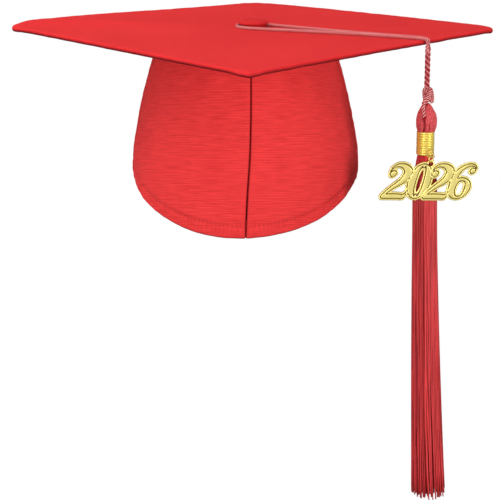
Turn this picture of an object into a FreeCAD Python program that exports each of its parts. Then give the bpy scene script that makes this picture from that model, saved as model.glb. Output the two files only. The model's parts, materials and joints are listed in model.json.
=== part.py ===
"""Graduation cap: covered square board, soft head crown, covered button, looped cord, tassel and year charm.

Units are millimetres. The origin is on the button's axis, inside the head opening, level with the side hem.
+Z points up through the board, and the board's front corner and the crown's centre seam face -Y.
"""
import FreeCAD, Part
import math
import os

Vec = FreeCAD.Vector
UP = Vec(0, 0, 1)

# ---- board -------------------------------------------------------------------------------------
BOARD_SIDE = 240.0            # length of each edge of the square
BOARD_TOP = 93.0              # height of the board's top face over the side hem
BOARD_THICK = 3.2             # covered thickness
BOARD_CORNER_R = 12.0         # rounding of the side and back corners, seen from above
BOARD_FRONT_R = 4.0           # rounding of the front corner
BOARD_EDGE_R = 1.5            # rounding of the covered edge
CORE_SIDE = 237.6             # stiff panel inside the fabric
CORE_THICK = 1.9
COVER_T = 0.6                 # laid fabric on the top face
UNDER_SIDE = 228.0            # fabric sheet that closes the underside
UNDER_T = 0.7
BOARD_BOTTOM = BOARD_TOP - BOARD_THICK

# ---- crown -------------------------------------------------------------------------------------
# Half width across the ears at each height; the front-to-back half length is longer by HEAD_RATIO.
HEAD_RATIO = 97.0 / 80.0
CROWN_LEVELS = [(89.8, 58.8), (73.0, 64.2), (51.0, 70.6), (28.0, 75.2), (5.0, 78.6), (-36.0, 79.0)]
CROWN_X = -5.2                # crown's axis; its front seam stays under the board's corner
CROWN_T = 1.4                 # fabric with its interlining
FRONT_DIP = 31.0              # how far the front hem drops below the side hem
BACK_RISE = 8.0               # how far the back hem rises above it
SIDE_SEAM_Y = -20.0           # plane where the front panels meet the back panel
FACING_H = 12.0               # turned-up hem
TAPE_W = 15.0                 # tape over the centre seam, inside
SWEAT_LOW = 2.0               # sweatband, measured up from the hem
SWEAT_HIGH = 27.0
ELASTIC_LOW = 1.5             # elastic in the back casing
ELASTIC_HIGH = 10.5
CASING_H = 13.0
LABEL_W = 34.0
LABEL_Z = (30.0, 48.0)
FLANGE_W = 9.0                # crown's top allowance, turned in under the board
FLANGE_T = 0.8
SEWN_GAP = 0.03               # between the flange and the crown's inner face

# ---- button ------------------------------------------------------------------------------------
SHANK_R = 1.6
SHANK_HOLE_R = 1.7
BUTTON_R = 10.2
BUTTON_LOW = 95.7             # underside of the covered rim
BUTTON_HIGH = 99.4
BUTTON_SKIN = 0.5
WASHER_R = 7.0
WASHER_T = 0.8
RIVET_R = 3.0

# ---- cord --------------------------------------------------------------------------------------
CORD_R = 1.05                 # one strand
LOOP_R = 10.6                 # centreline round the button
CORD_Z = 94.3                 # centreline height where the cord lies on the board
CROSS_X, CROSS_Y = 112.0, -56.0   # direction of the point of the edge that the cord crosses
BEND_R = 2.9                  # centreline over the board's edge
BEND_INSET = 1.2              # centre of that bend, inside the edge
STRAND_HALF = 1.1             # half the spacing of the two strands
PIVOT_Z = 89.7                # centre of the free bend below the edge
PIVOT_R = 1.0
PIVOT_GAP = 1.4               # from the pivot's centre to the strands above and below it
KNOT_TOP, KNOT_LOW = 62.0, 51.6
KNOT_R = 3.4

# ---- tassel ------------------------------------------------------------------------------------
HEAD_TOP, HEAD_LOW = 51.6, 33.0
HEAD_R = 6.3
BAND_LOW = 17.4
BAND_R = 5.95
BAND_IN_R = 5.0
BAND_RIDGES = 10
SKIRT_LOW = -226.0
SKIRT_PROFILE = [(5.3, 16.9), (6.3, 14.0), (7.4, 4.0), (7.6, -40.0), (9.0, -120.0), (10.3, -190.0),
                 (11.0, SKIRT_LOW)]

# ---- bail, jump ring and charm -----------------------------------------------------------------
WIRE_R = 0.4
LINK_X = 3.0                  # links hang this far right of the tassel's axis
LINK_Y = -9.0                 # and this far in front of it
BAIL_TOP = 23.0
BAIL_BAR_Z = 17.5
BAIL_HALF = 2.3
RING_R = 2.35
RING_LIFT = 0.95              # ring's top wire above the bail's bar
RING_TURN = 54.0              # ring's plane, turned from the front
LUG_R = 2.6
LUG_HOLE_R = 1.6
LUG_T = 0.8
LUG_DROP = 0.8                # lug's hole centre below the ring's bottom wire
CHARM_T = 1.6
CHARM_H = 26.0
NUMERAL_W = 14.6              # width of one numeral, before slant
NUMERAL_STEP = 15.2
NUMERAL_SLANT = 0.20

ALONG = Vec(CROSS_X, CROSS_Y, 0).normalize()      # from the button to the crossing, level
EDGE_RADIUS = BOARD_SIDE / 2 / ALONG.dot(Vec(1, -1, 0).normalize())
DROP_RADIUS = EDGE_RADIUS - BEND_INSET + BEND_R   # distance of the hanging cord from the button's axis
ACROSS = UP.cross(ALONG)
TASSEL = ALONG * DROP_RADIUS                      # axis of everything that hangs


# ---- helpers -----------------------------------------------------------------------------------
def box(x0, x1, y0, y1, z0, z1):
    return Part.makeBox(x1 - x0, y1 - y0, z1 - z0, Vec(x0, y0, z0))


def diamond(side, low, high, inset=None):
    """Square plate with a corner to the front, rounded like the board's when inset from it by a distance."""
    plate = box(-side / 2, side / 2, -side / 2, side / 2, low, high)
    plate.rotate(Vec(0, 0, 0), UP, 45)
    if inset is None:
        return plate
    upright = [e for e in plate.Edges if abs(e.tangentAt(e.FirstParameter).z) > 0.9]
    others = [e for e in upright if e.CenterOfMass.y > -side / 2]
    plate = plate.makeFillet(BOARD_CORNER_R - inset, others)
    front = [e for e in plate.Edges if e.CenterOfMass.y < -side / 2 and e.BoundBox.YLength < 1e-6]
    return plate.makeFillet(BOARD_FRONT_R - inset, front)


def revolve(edges, centre=Vec(0, 0, 0)):
    """Solid of revolution about a vertical axis from edges drawn in the XZ plane."""
    face = Part.Face(Part.Wire(edges))
    solid = face.revolve(Vec(0, 0, 0), UP, 360)
    solid.translate(centre)
    return solid


def lines(points):
    ends = [Vec(x, 0, z) for x, z in points]
    return [Part.LineSegment(a, b).toShape() for a, b in zip(ends, ends[1:])]


def arc(a, b, c):
    return Part.Arc(Vec(a[0], 0, a[1]), Vec(b[0], 0, b[1]), Vec(c[0], 0, c[1])).toShape()


def dome_arc(rim_r, rim_z, top_z):
    """Arc of a sphere centred on the axis, from the rim up to the pole."""
    rise = top_z - rim_z
    ball_r = (rim_r * rim_r + rise * rise) / (2 * rise)
    half = math.asin(rim_r / ball_r) / 2
    middle = (ball_r * math.sin(half), top_z - ball_r + ball_r * math.cos(half))
    return arc((rim_r, rim_z), middle, (0, top_z))


def shank_hole():
    return Part.makeCylinder(SHANK_HOLE_R, 20, Vec(0, 0, BOARD_TOP - 10), UP)


# ---- board -------------------------------------------------------------------------------------
def board_core():
    top = BOARD_TOP - COVER_T
    inset = (BOARD_SIDE - CORE_SIDE) / 2
    return diamond(CORE_SIDE, top - CORE_THICK, top, inset).cut(shank_hole())


def cover_bottom():
    return diamond(UNDER_SIDE, BOARD_BOTTOM, BOARD_BOTTOM + UNDER_T).cut(shank_hole())


def cover_top(core, under):
    outer = diamond(BOARD_SIDE, BOARD_BOTTOM, BOARD_TOP, 0.0)
    rims = [e for e in outer.Edges if abs(e.BoundBox.ZLength) < 1e-6]
    outer = outer.makeFillet(BOARD_EDGE_R, rims)
    return outer.cut(core).cut(under).cut(shank_hole())


# ---- crown -------------------------------------------------------------------------------------
def crown_oval(z, half_long, half_wide):
    """Level oval round the crown's axis, longer from front to back."""
    wire = Part.Wire([Part.Ellipse(Vec(0, 0, z), half_long, half_wide).toShape()])
    wire.rotate(Vec(0, 0, z), UP, 90)
    wire.translate(Vec(CROWN_X, 0, 0))
    return wire


def head_form(inset):
    """Egg-shaped head form, smaller than the crown's outside by the inset."""
    wires = []
    for z, half in CROWN_LEVELS:
        wires.append(crown_oval(z, half * HEAD_RATIO - inset, half - inset))
    return Part.makeLoft(wires, True, False)


def below_hem(lift):
    """Everything under the hem's curve, raised by the lift; seen from the side the hem rises to the back."""
    slope = FRONT_DIP / (80.0 * HEAD_RATIO)
    marks = [(-125, -125 * slope), (-97, -97 * slope), (-60, -60 * slope), (-22, -22 * slope),
             (10, 2.2), (50, 6.0), (97, BACK_RISE), (125, BACK_RISE + 0.4)]
    points = [Vec(-125, y, z + lift) for y, z in marks]
    curve = Part.BSplineCurve()
    curve.interpolate(points)
    floor = [points[-1], Vec(-125, 125, -90), Vec(-125, -125, -90), points[0]]
    edges = [curve.toShape()] + [Part.LineSegment(a, b).toShape() for a, b in zip(floor, floor[1:])]
    return Part.Face(Part.Wire(edges)).extrude(Vec(250, 0, 0))


def layer(outside, inside):
    """Shell between two insets of the head form."""
    return head_form(outside).cut(head_form(inside))


def band(outside, inside, low, high):
    """Part of a layer that lies between two heights over the hem."""
    return layer(outside, inside).common(below_hem(high)).cut(below_hem(low))


def crown_panels():
    shell = layer(0.0, CROWN_T).cut(below_hem(0.0))
    left = shell.common(box(-130, 0, -130, SIDE_SEAM_Y, -90, 100))
    right = shell.common(box(0, 130, -130, SIDE_SEAM_Y, -90, 100))
    back = shell.common(box(-130, 130, SIDE_SEAM_Y, 130, -90, 100))
    return left, right, back


def hem_facing():
    return band(CROWN_T, CROWN_T + 0.6, 0.0, FACING_H).common(box(-130, 130, -130, SIDE_SEAM_Y, -90, 100))


def seam_tape():
    strip = layer(CROWN_T, CROWN_T + 0.6).cut(below_hem(FACING_H + 0.3))
    return strip.common(box(-TAPE_W / 2, TAPE_W / 2, -130, 0, -90, BOARD_BOTTOM - FLANGE_T - 0.3))


def sweatband():
    return band(CROWN_T + 0.7, CROWN_T + 1.9, SWEAT_LOW, SWEAT_HIGH).common(box(-130, 130, -130, 6, -90, 100))


def back_elastic():
    strip = band(CROWN_T + 0.1, CROWN_T + 1.2, ELASTIC_LOW, ELASTIC_HIGH)
    return strip.common(box(-130, 130, 8, 130, -90, 100))


def elastic_casing():
    outer = band(CROWN_T, CROWN_T + 1.9, 0.0, CASING_H).common(box(-130, 130, 7, 130, -90, 100))
    tunnel = band(CROWN_T, CROWN_T + 1.4, ELASTIC_LOW - 0.3, ELASTIC_HIGH + 0.3)
    return outer.cut(tunnel)


def inside_label():
    patch = layer(CROWN_T + 0.05, CROWN_T + 0.55)
    return patch.common(box(CROWN_X - LABEL_W / 2, CROWN_X + LABEL_W / 2, 0, 130, LABEL_Z[0], LABEL_Z[1]))


def crown_flange():
    z, half = CROWN_LEVELS[0]
    inner = crown_oval(z - 5, (half - FLANGE_W) * HEAD_RATIO, half - FLANGE_W)
    hole = Part.Face(inner).extrude(Vec(0, 0, 10))
    slab = box(-130, 130, -130, 130, BOARD_BOTTOM - FLANGE_T, BOARD_BOTTOM)
    return head_form(CROWN_T + SEWN_GAP).common(slab).cut(hole)


# ---- button ------------------------------------------------------------------------------------
def button_shell():
    r, low, high = BUTTON_R - 0.8, BUTTON_LOW + BUTTON_SKIN, BUTTON_HIGH - BUTTON_SKIN
    return revolve(lines([(0, low), (r, low)]) + [dome_arc(r, low, high)] + lines([(0, high), (0, low)]))


def button_cover(shell):
    lip = BUTTON_R - 0.7
    side = arc((lip, BUTTON_LOW), (BUTTON_R - 0.12, BUTTON_LOW + 0.28), (BUTTON_R, BUTTON_LOW + 0.7))
    dome = dome_arc(BUTTON_R, BUTTON_LOW + 0.7, BUTTON_HIGH)
    edges = lines([(0, BUTTON_LOW), (lip, BUTTON_LOW)]) + [side, dome]
    solid = revolve(edges + lines([(0, BUTTON_HIGH), (0, BUTTON_LOW)]))
    back_opening = Part.makeCylinder(BUTTON_R - 2.7, BUTTON_SKIN, Vec(0, 0, BUTTON_LOW), UP)
    return solid.cut(shell).cut(back_opening)


def button_shank():
    low = BOARD_BOTTOM - WASHER_T
    post = Part.makeCylinder(SHANK_R, BUTTON_LOW + BUTTON_SKIN - low, Vec(0, 0, low), UP)
    return post.fuse(Part.makeCylinder(RIVET_R, 0.8, Vec(0, 0, low - 0.8), UP)).removeSplitter()


def button_washer():
    disc = Part.makeCylinder(WASHER_R, WASHER_T, Vec(0, 0, BOARD_BOTTOM - WASHER_T), UP)
    return disc.cut(shank_hole())


# ---- cord --------------------------------------------------------------------------------------
def on_board(along, across, z=CORD_Z):
    """Point given along and across the line from the button to the crossing."""
    return ALONG * along + ACROSS * across + UP * z


def rounded_path(points, radii):
    """Straight runs joined by tangent arcs; a radius of None is worked out from the shorter run."""
    edges, start, used = [], points[0], []
    for i in range(1, len(points) - 1):
        before, here, after = points[i - 1], points[i], points[i + 1]
        to_a, to_b = before.sub(here), after.sub(here)
        half_turn = (math.pi - to_a.getAngle(to_b)) / 2
        shorter = min(to_a.Length, to_b.Length)
        radius = radii[i - 1] or 0.45 * shorter / math.tan(half_turn)
        reach = radius * math.tan(half_turn)
        a = here.add(to_a.normalize() * reach)
        b = here.add(to_b.normalize() * reach)
        middle = here.add(to_a.add(to_b).normalize() * (radius / math.cos(half_turn) - radius))
        edges.append(Part.LineSegment(start, a).toShape())
        edges.append(Part.Arc(a, middle, b).toShape())
        used.append(round(radius, 1))
        start = b
    edges.append(Part.LineSegment(start, points[-1]).toShape())
    return edges, used


def tube(edges, radius, name):
    """Round section swept along the edges, with its volume compared with section times length."""
    path = Part.Wire(edges)
    first = edges[0]
    start, heading = first.valueAt(first.FirstParameter), first.tangentAt(first.FirstParameter)
    profile = Part.Wire([Part.Circle(start, heading, radius).toShape()])
    solid = path.makePipeShell([profile], True, False)
    expected = math.pi * radius * radius * path.Length
    print(name, "length", round(path.Length, 1), "volume ratio", round(solid.Volume / expected, 4))
    return solid


def leg_points(side):
    """Corners of one leg, from the free end under the edge to the button's loop."""
    return [on_board(DROP_RADIUS, side * STRAND_HALF, PIVOT_Z + PIVOT_GAP),
            on_board(DROP_RADIUS, side * STRAND_HALF),
            on_board(109.0, side * 1.25), on_board(83.0, side * 2.1), on_board(44.0, side * 5.6)]


def loop_touch(side):
    """Where a leg's last run touches the circle round the button."""
    last = leg_points(side)[-1]
    flat = Vec(last.x, last.y, 0)
    lead = side * math.acos(LOOP_R / flat.Length)
    turned = FreeCAD.Rotation(UP, math.degrees(lead)).multVec(flat.normalize())
    return turned * LOOP_R + UP * CORD_Z


def cord_loop():
    """One strand: over the edge, along the board, round the button and back beside itself."""
    out, used = rounded_path(leg_points(-1) + [loop_touch(-1)], [BEND_R, None, None, None])
    back, also = rounded_path([loop_touch(1)] + leg_points(1)[::-1], [None, None, None, BEND_R])
    far = ALONG * -LOOP_R + UP * CORD_Z
    ring = Part.Arc(loop_touch(-1), far, loop_touch(1)).toShape()
    print("cord_loop radii", used, LOOP_R, also)
    return tube(out + [ring] + back, CORD_R, "cord_loop")


def cord_bend():
    return Part.makeSphere(PIVOT_R, TASSEL + UP * PIVOT_Z)


def cord_drop():
    """Two strands that hang side by side from the free bend into the knot."""
    strands = []
    for side in (-1, 1):
        start = on_board(DROP_RADIUS, side * STRAND_HALF, PIVOT_Z - PIVOT_GAP)
        strands.append(Part.makeCylinder(CORD_R, start.z - KNOT_TOP, start, UP * -1))
    return Part.makeCompound(strands)


def cord_knot():
    mid = (KNOT_TOP + KNOT_LOW) / 2
    upper = arc((2.3, KNOT_TOP), (KNOT_R * 0.95, (KNOT_TOP + mid) / 2), (KNOT_R, mid))
    lower = arc((KNOT_R, mid), (KNOT_R * 0.92, (KNOT_LOW + mid) / 2), (1.9, KNOT_LOW))
    edges = lines([(0, KNOT_TOP), (2.3, KNOT_TOP)]) + [upper, lower]
    return revolve(edges + lines([(1.9, KNOT_LOW), (0, KNOT_LOW), (0, KNOT_TOP)]), TASSEL)


# ---- tassel ------------------------------------------------------------------------------------
def tassel_head():
    mid = HEAD_LOW + 8.0
    upper = arc((1.9, HEAD_TOP), (HEAD_R * 0.80, HEAD_TOP - 3.2), (HEAD_R, mid))
    lower = arc((HEAD_R, mid), (HEAD_R - 0.1, mid - 3.5), (BAND_IN_R + 0.6, HEAD_LOW))
    edges = lines([(0, HEAD_TOP), (1.9, HEAD_TOP)]) + [upper, lower]
    return revolve(edges + lines([(BAND_IN_R + 0.6, HEAD_LOW), (0, HEAD_LOW), (0, HEAD_TOP)]), TASSEL)


def tassel_band():
    """Sleeve with a row of rounded ridges, like a close coil of wire."""
    pitch = (HEAD_LOW - BAND_LOW) / BAND_RIDGES
    edges = []
    for i in range(BAND_RIDGES):
        low, root = BAND_LOW + i * pitch, BAND_R - 0.45
        edges.append(arc((root, low), (BAND_R, low + pitch / 2), (root, low + pitch)))
    edges += lines([(root, HEAD_LOW), (BAND_IN_R, HEAD_LOW), (BAND_IN_R, BAND_LOW), (root, BAND_LOW)])
    return revolve(edges, TASSEL)


def tassel_skirt():
    """Bundle of hanging threads with the neck that the band grips."""
    neck_r = BAND_IN_R - 0.03
    neck = [(0, HEAD_LOW), (neck_r, HEAD_LOW), (neck_r, SKIRT_PROFILE[0][1])]
    foot = [(SKIRT_PROFILE[-1][0], SKIRT_LOW), (0, SKIRT_LOW), (0, HEAD_LOW)]
    curve = Part.BSplineCurve()
    curve.interpolate([Vec(r, 0, z) for r, z in SKIRT_PROFILE])
    return revolve(lines(neck + [SKIRT_PROFILE[0]]) + [curve.toShape()] + lines(foot), TASSEL)


# ---- links -------------------------------------------------------------------------------------
def rod(a, b, radius):
    return Part.makeCylinder(radius, b.sub(a).Length, a, b.sub(a))


def tassel_bail():
    """Slanted wire triangle: its peak is fixed in the band and its bar carries the jump ring."""
    peak = TASSEL + Vec(LINK_X, -5.0, BAIL_TOP)
    left = TASSEL + Vec(LINK_X - BAIL_HALF, LINK_Y, BAIL_BAR_Z)
    right = TASSEL + Vec(LINK_X + BAIL_HALF, LINK_Y, BAIL_BAR_Z)
    solid = rod(peak, left, WIRE_R).fuse(rod(peak, right, WIRE_R)).fuse(rod(left, right, WIRE_R))
    for corner in (peak, left, right):
        solid = solid.fuse(Part.makeSphere(WIRE_R, corner))
    return solid.removeSplitter()


def ring_centre():
    return TASSEL + Vec(LINK_X, LINK_Y, BAIL_BAR_Z + RING_LIFT - RING_R)


def jump_ring():
    normal = FreeCAD.Rotation(UP, RING_TURN).multVec(Vec(0, 1, 0))
    return Part.makeTorus(RING_R, WIRE_R, ring_centre(), normal)


def bar(a, b, width):
    """Flat rounded bar between two points of the charm's face, given as (x, z)."""
    start, end = Vec(a[0], 0, a[1]), Vec(b[0], 0, b[1])
    run = end.sub(start)
    block = Part.makeBox(run.Length, CHARM_T, width, Vec(0, 0, -width / 2))
    block.rotate(Vec(0, 0, 0), Vec(0, -1, 0), math.degrees(math.atan2(run.z, run.x)))
    block.translate(start)
    for end_point in (start, end):
        block = block.fuse(disc(end_point, width / 2))
    return block


def disc(centre, radius):
    return Part.makeCylinder(radius, CHARM_T, Vec(centre.x, 0, centre.z), Vec(0, 1, 0))


def hoop(x, z, half_w, half_h, stroke):
    """Flat oval ring, upright, with a thicker stroke at its sides than at its top and foot."""
    outer = oval(x, z, half_w, half_h)
    return outer.cut(oval(x, z, half_w - stroke, half_h - stroke * 0.62))


def oval(x, z, half_w, half_h):
    big, small, turn = max(half_w, half_h), min(half_w, half_h), 0 if half_w > half_h else 90
    edge = Part.Ellipse(Vec(0, 0, 0), big, small).toShape()
    wire = Part.Wire([edge])
    wire.rotate(Vec(0, 0, 0), UP, turn)
    wire.rotate(Vec(0, 0, 0), Vec(1, 0, 0), 90)
    wire.translate(Vec(x, 0, z))
    return Part.Face(wire).extrude(Vec(0, CHARM_T, 0))


def numeral_zero(x):
    return hoop(x, CHARM_H / 2, NUMERAL_W / 2 + 0.5, CHARM_H / 2, 5.0)


def numeral_six(x):
    """Round bowl with a stem that rises from its left side and curls over to the right."""
    bowl = hoop(x, 8.4, NUMERAL_W / 2 + 0.5, 8.4, 4.6)
    stem = hoop(x, CHARM_H / 2, NUMERAL_W / 2 + 0.5, CHARM_H / 2, 4.6)
    stem = stem.cut(box(x - 1.0, x + 20, -5, 5, 8.0, CHARM_H - 3.2)).cut(box(x - 20, x + 20, -5, 5, -5, 8.0))
    ball = disc(Vec(x + NUMERAL_W / 2 - 2.2, 0, CHARM_H - 4.6), 2.7)
    return bowl.fuse(stem.cut(box(x + 3.4, x + 20, -5, 5, 0, CHARM_H + 5))).fuse(ball)


def numeral_two(x):
    """Curved top that ends in a ball at the left, a slanted neck, and a flat foot."""
    half = NUMERAL_W / 2
    top = hoop(x, CHARM_H - 7.6, half, 7.6, 4.4).cut(box(x - 20, x + 1.5, -5, 5, 0, CHARM_H - 7.6))
    top = top.cut(box(x + 1.4, x + 20, -5, 5, 0, CHARM_H - 11.4))
    ball = disc(Vec(x - half + 2.9, 0, CHARM_H - 7.4), 2.9)
    neck = bar((x + half - 3.4, CHARM_H - 11.0), (x - half + 2.4, 3.4), 3.6)
    foot = bar((x - half + 1.9, 2.2), (x + half - 1.2, 2.2), 4.4)
    return top.fuse(ball).fuse(neck).fuse(foot)


def year_charm():
    """Four slanted numerals cast in one piece, with a lug over their centre of mass."""
    start = -1.5 * NUMERAL_STEP
    flat = numeral_two(start).fuse(numeral_zero(start + NUMERAL_STEP))
    flat = flat.fuse(numeral_two(start + 2 * NUMERAL_STEP)).fuse(numeral_six(start + 3 * NUMERAL_STEP))
    flat = flat.fuse(box(start, start + 3 * NUMERAL_STEP, 0, CHARM_T, 0.6, 3.4))
    slant = FreeCAD.Matrix()
    slant.A13 = NUMERAL_SLANT
    slanted = flat.removeSplitter().transformGeometry(slant)
    eye_z = ring_centre().z - RING_R - LUG_DROP
    balance = slanted.CenterOfGravity.x
    slanted.translate(TASSEL + Vec(LINK_X - balance, LINK_Y - CHARM_T / 2, eye_z + 1.2 - CHARM_H))
    eye = TASSEL + Vec(LINK_X, LINK_Y - LUG_T / 2, eye_z)
    solid = slanted.fuse(Part.makeCylinder(LUG_R, LUG_T, eye, Vec(0, 1, 0)))
    return solid.cut(Part.makeCylinder(LUG_HOLE_R, 12, eye + Vec(0, -6, 0), Vec(0, 1, 0)))


def write(name, shape):
    print(name, "valid", shape.isValid(), "solids", len(shape.Solids), "volume", round(shape.Volume, 1))
    shape.exportStep("parts/" + name + ".step")


def main():
    os.makedirs("parts", exist_ok=True)
    core, under, shell = board_core(), cover_bottom(), button_shell()
    left, right, back = crown_panels()
    write("board_core", core)
    write("cover_bottom", under)
    write("cover_top", cover_top(core, under))
    write("crown_front_left", left)
    write("crown_front_right", right)
    write("crown_back", back)
    write("crown_flange", crown_flange())
    write("hem_facing", hem_facing())
    write("seam_tape", seam_tape())
    write("sweatband", sweatband())
    write("back_elastic", back_elastic())
    write("elastic_casing", elastic_casing())
    write("inside_label", inside_label())
    write("button_shell", shell)
    write("button_cover", button_cover(shell))
    write("button_shank", button_shank())
    write("button_washer", button_washer())
    write("cord_loop", cord_loop())
    write("cord_bend", cord_bend())
    write("cord_drop", cord_drop())
    write("cord_knot", cord_knot())
    write("tassel_head", tassel_head())
    write("tassel_band", tassel_band())
    write("tassel_skirt", tassel_skirt())
    write("tassel_bail", tassel_bail())
    write("jump_ring", jump_ring())
    write("year_charm", year_charm())


main()
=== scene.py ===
"""A graduation cap in red cloth: covered board, soft crown, button, looped cord, tassel and year charm.

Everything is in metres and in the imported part's frame: the origin is on the button's axis, inside the head
opening and level with the hem at the sides, +Z is up through the board, and -Y is the front.
"""

import json
import logging
import math
import random
from dataclasses import dataclass, field
from enum import Enum
from typing import Callable, Sequence

import bmesh
import bpy
import numpy as np
from mathutils import Matrix, Vector, noise

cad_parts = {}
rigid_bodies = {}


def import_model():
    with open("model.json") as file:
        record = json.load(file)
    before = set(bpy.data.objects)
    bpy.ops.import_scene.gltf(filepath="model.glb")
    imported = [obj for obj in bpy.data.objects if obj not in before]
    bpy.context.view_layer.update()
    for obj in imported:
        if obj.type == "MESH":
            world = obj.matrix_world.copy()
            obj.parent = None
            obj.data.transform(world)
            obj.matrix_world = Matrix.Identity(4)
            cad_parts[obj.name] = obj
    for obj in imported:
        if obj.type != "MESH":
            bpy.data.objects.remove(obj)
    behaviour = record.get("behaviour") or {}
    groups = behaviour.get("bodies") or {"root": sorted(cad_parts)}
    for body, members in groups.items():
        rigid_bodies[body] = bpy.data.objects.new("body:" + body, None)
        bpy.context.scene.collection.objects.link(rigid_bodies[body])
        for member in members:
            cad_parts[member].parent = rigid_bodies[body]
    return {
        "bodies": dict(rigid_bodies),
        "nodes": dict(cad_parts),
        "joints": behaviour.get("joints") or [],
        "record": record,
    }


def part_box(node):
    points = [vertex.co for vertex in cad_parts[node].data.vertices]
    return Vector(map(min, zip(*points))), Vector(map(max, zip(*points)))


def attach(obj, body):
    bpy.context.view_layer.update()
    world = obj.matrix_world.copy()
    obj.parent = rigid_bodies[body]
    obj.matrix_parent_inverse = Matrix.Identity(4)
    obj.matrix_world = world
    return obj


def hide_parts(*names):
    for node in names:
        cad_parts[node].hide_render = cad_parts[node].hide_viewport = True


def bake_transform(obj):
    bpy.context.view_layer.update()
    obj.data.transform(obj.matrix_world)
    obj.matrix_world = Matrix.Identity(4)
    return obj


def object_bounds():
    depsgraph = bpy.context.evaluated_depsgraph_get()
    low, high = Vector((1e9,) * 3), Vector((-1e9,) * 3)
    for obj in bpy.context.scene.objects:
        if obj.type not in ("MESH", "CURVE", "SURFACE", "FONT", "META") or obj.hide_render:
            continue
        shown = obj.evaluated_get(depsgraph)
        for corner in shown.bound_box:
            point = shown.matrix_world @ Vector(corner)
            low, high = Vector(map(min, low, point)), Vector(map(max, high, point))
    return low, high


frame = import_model()
CAD_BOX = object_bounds()

MM = 0.001
MERGE = 0.01 * MM
FULL_TURN = 2 * math.pi
ROOT_2 = math.sqrt(2.0)
LOG = logging.getLogger("graduation_cap")


class Body(str, Enum):
    """The bodies that pieces ride on."""

    CAP = "cap"
    LOOP = "loop"
    BEND = "bend"
    TASSEL = "tassel"
    RING = "ring"
    CHARM = "charm"


class Slot(str, Enum):
    """The record's material slots."""

    BOARD = "board_fabric"
    CROWN = "crown_fabric"
    TAPE = "lining_tape"
    SWEAT = "sweat_fabric"
    ELASTIC = "elastic_web"
    LABEL = "label_fabric"
    PANEL = "panel_board"
    BUTTON_METAL = "button_metal"
    STEEL = "steel"
    CORD = "cord_fibre"
    THREAD = "tassel_fibre"
    GOLD = "gold_metal"


# ---- shader tools --------------------------------------------------------------------------------
class Graph:
    """A node tree that is being filled in."""

    def __init__(self, tree: bpy.types.NodeTree) -> None:
        """Start on an empty tree.

        Args:
            tree: the material's or the group's node tree.
        """
        self.tree = tree
        tree.nodes.clear()

    def add(self, kind: str, values: dict | None = None, **props: object) -> bpy.types.Node:
        """Add a node.

        Args:
            kind: the node's type name.
            values: input socket name or index to its value, or to the socket that feeds it.
            **props: properties of the node itself.

        Returns:
            The new node.
        """
        node = self.tree.nodes.new(kind)
        for name, value in props.items():
            setattr(node, name, value)
        for key, value in (values or {}).items():
            socket = node.inputs[key]
            if isinstance(value, bpy.types.NodeSocket):
                self.tree.links.new(value, socket)
            else:
                socket.default_value = value
        return node

    def math(self, operation: str, a: object, b: object = 0.0) -> bpy.types.NodeSocket:
        """Return the output of a Math node on two values or sockets."""
        return self.add("ShaderNodeMath", {0: a, 1: b}, operation=operation).outputs[0]

    def mix(self, factor: object, a: object, b: object) -> bpy.types.NodeSocket:
        """Return the colour output of a Mix node between two colours."""
        node = self.add("ShaderNodeMix", {"Factor": factor, 6: a, 7: b}, data_type="RGBA")
        return node.outputs[2]

    def noise(self, position: object, scale: object, detail: float, **values: float) -> bpy.types.NodeSocket:
        """Return the value of a Noise Texture node at a position."""
        spots = {"Vector": position, "Scale": scale, "Detail": detail, **values}
        return self.add("ShaderNodeTexNoise", spots).outputs[0]

    def remap(self, value: object, source: tuple[float, float] = (0.0, 1.0),
              target: tuple[object, object] = (0.0, 1.0)) -> bpy.types.NodeSocket:
        """Return a value mapped from one range to another and held inside it."""
        ends = {"From Min": source[0], "From Max": source[1], "To Min": target[0], "To Max": target[1]}
        return self.add("ShaderNodeMapRange", {"Value": value, **ends}).outputs[0]

    def group(self, tree: bpy.types.NodeTree, values: dict[str, object]) -> bpy.types.Node:
        """Return a shared group placed in this tree with its own values."""
        return self.add("ShaderNodeGroup", values, node_tree=tree)


def new_group(name: str, inputs: dict[str, str], outputs: dict[str, str]) -> tuple[bpy.types.NodeTree, Graph]:
    """Make an empty shader group with named sockets.

    Args:
        name: the group's name.
        inputs: socket name to socket type.
        outputs: socket name to socket type.

    Returns:
        The group's tree and a graph to fill it in with.
    """
    tree = bpy.data.node_groups.new(name, "ShaderNodeTree")
    for key, kind in inputs.items():
        tree.interface.new_socket(name=key, in_out="INPUT", socket_type=kind)
    for key, kind in outputs.items():
        tree.interface.new_socket(name=key, in_out="OUTPUT", socket_type=kind)
    return tree, Graph(tree)


RIB_PITCH = 1.65 * MM


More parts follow.
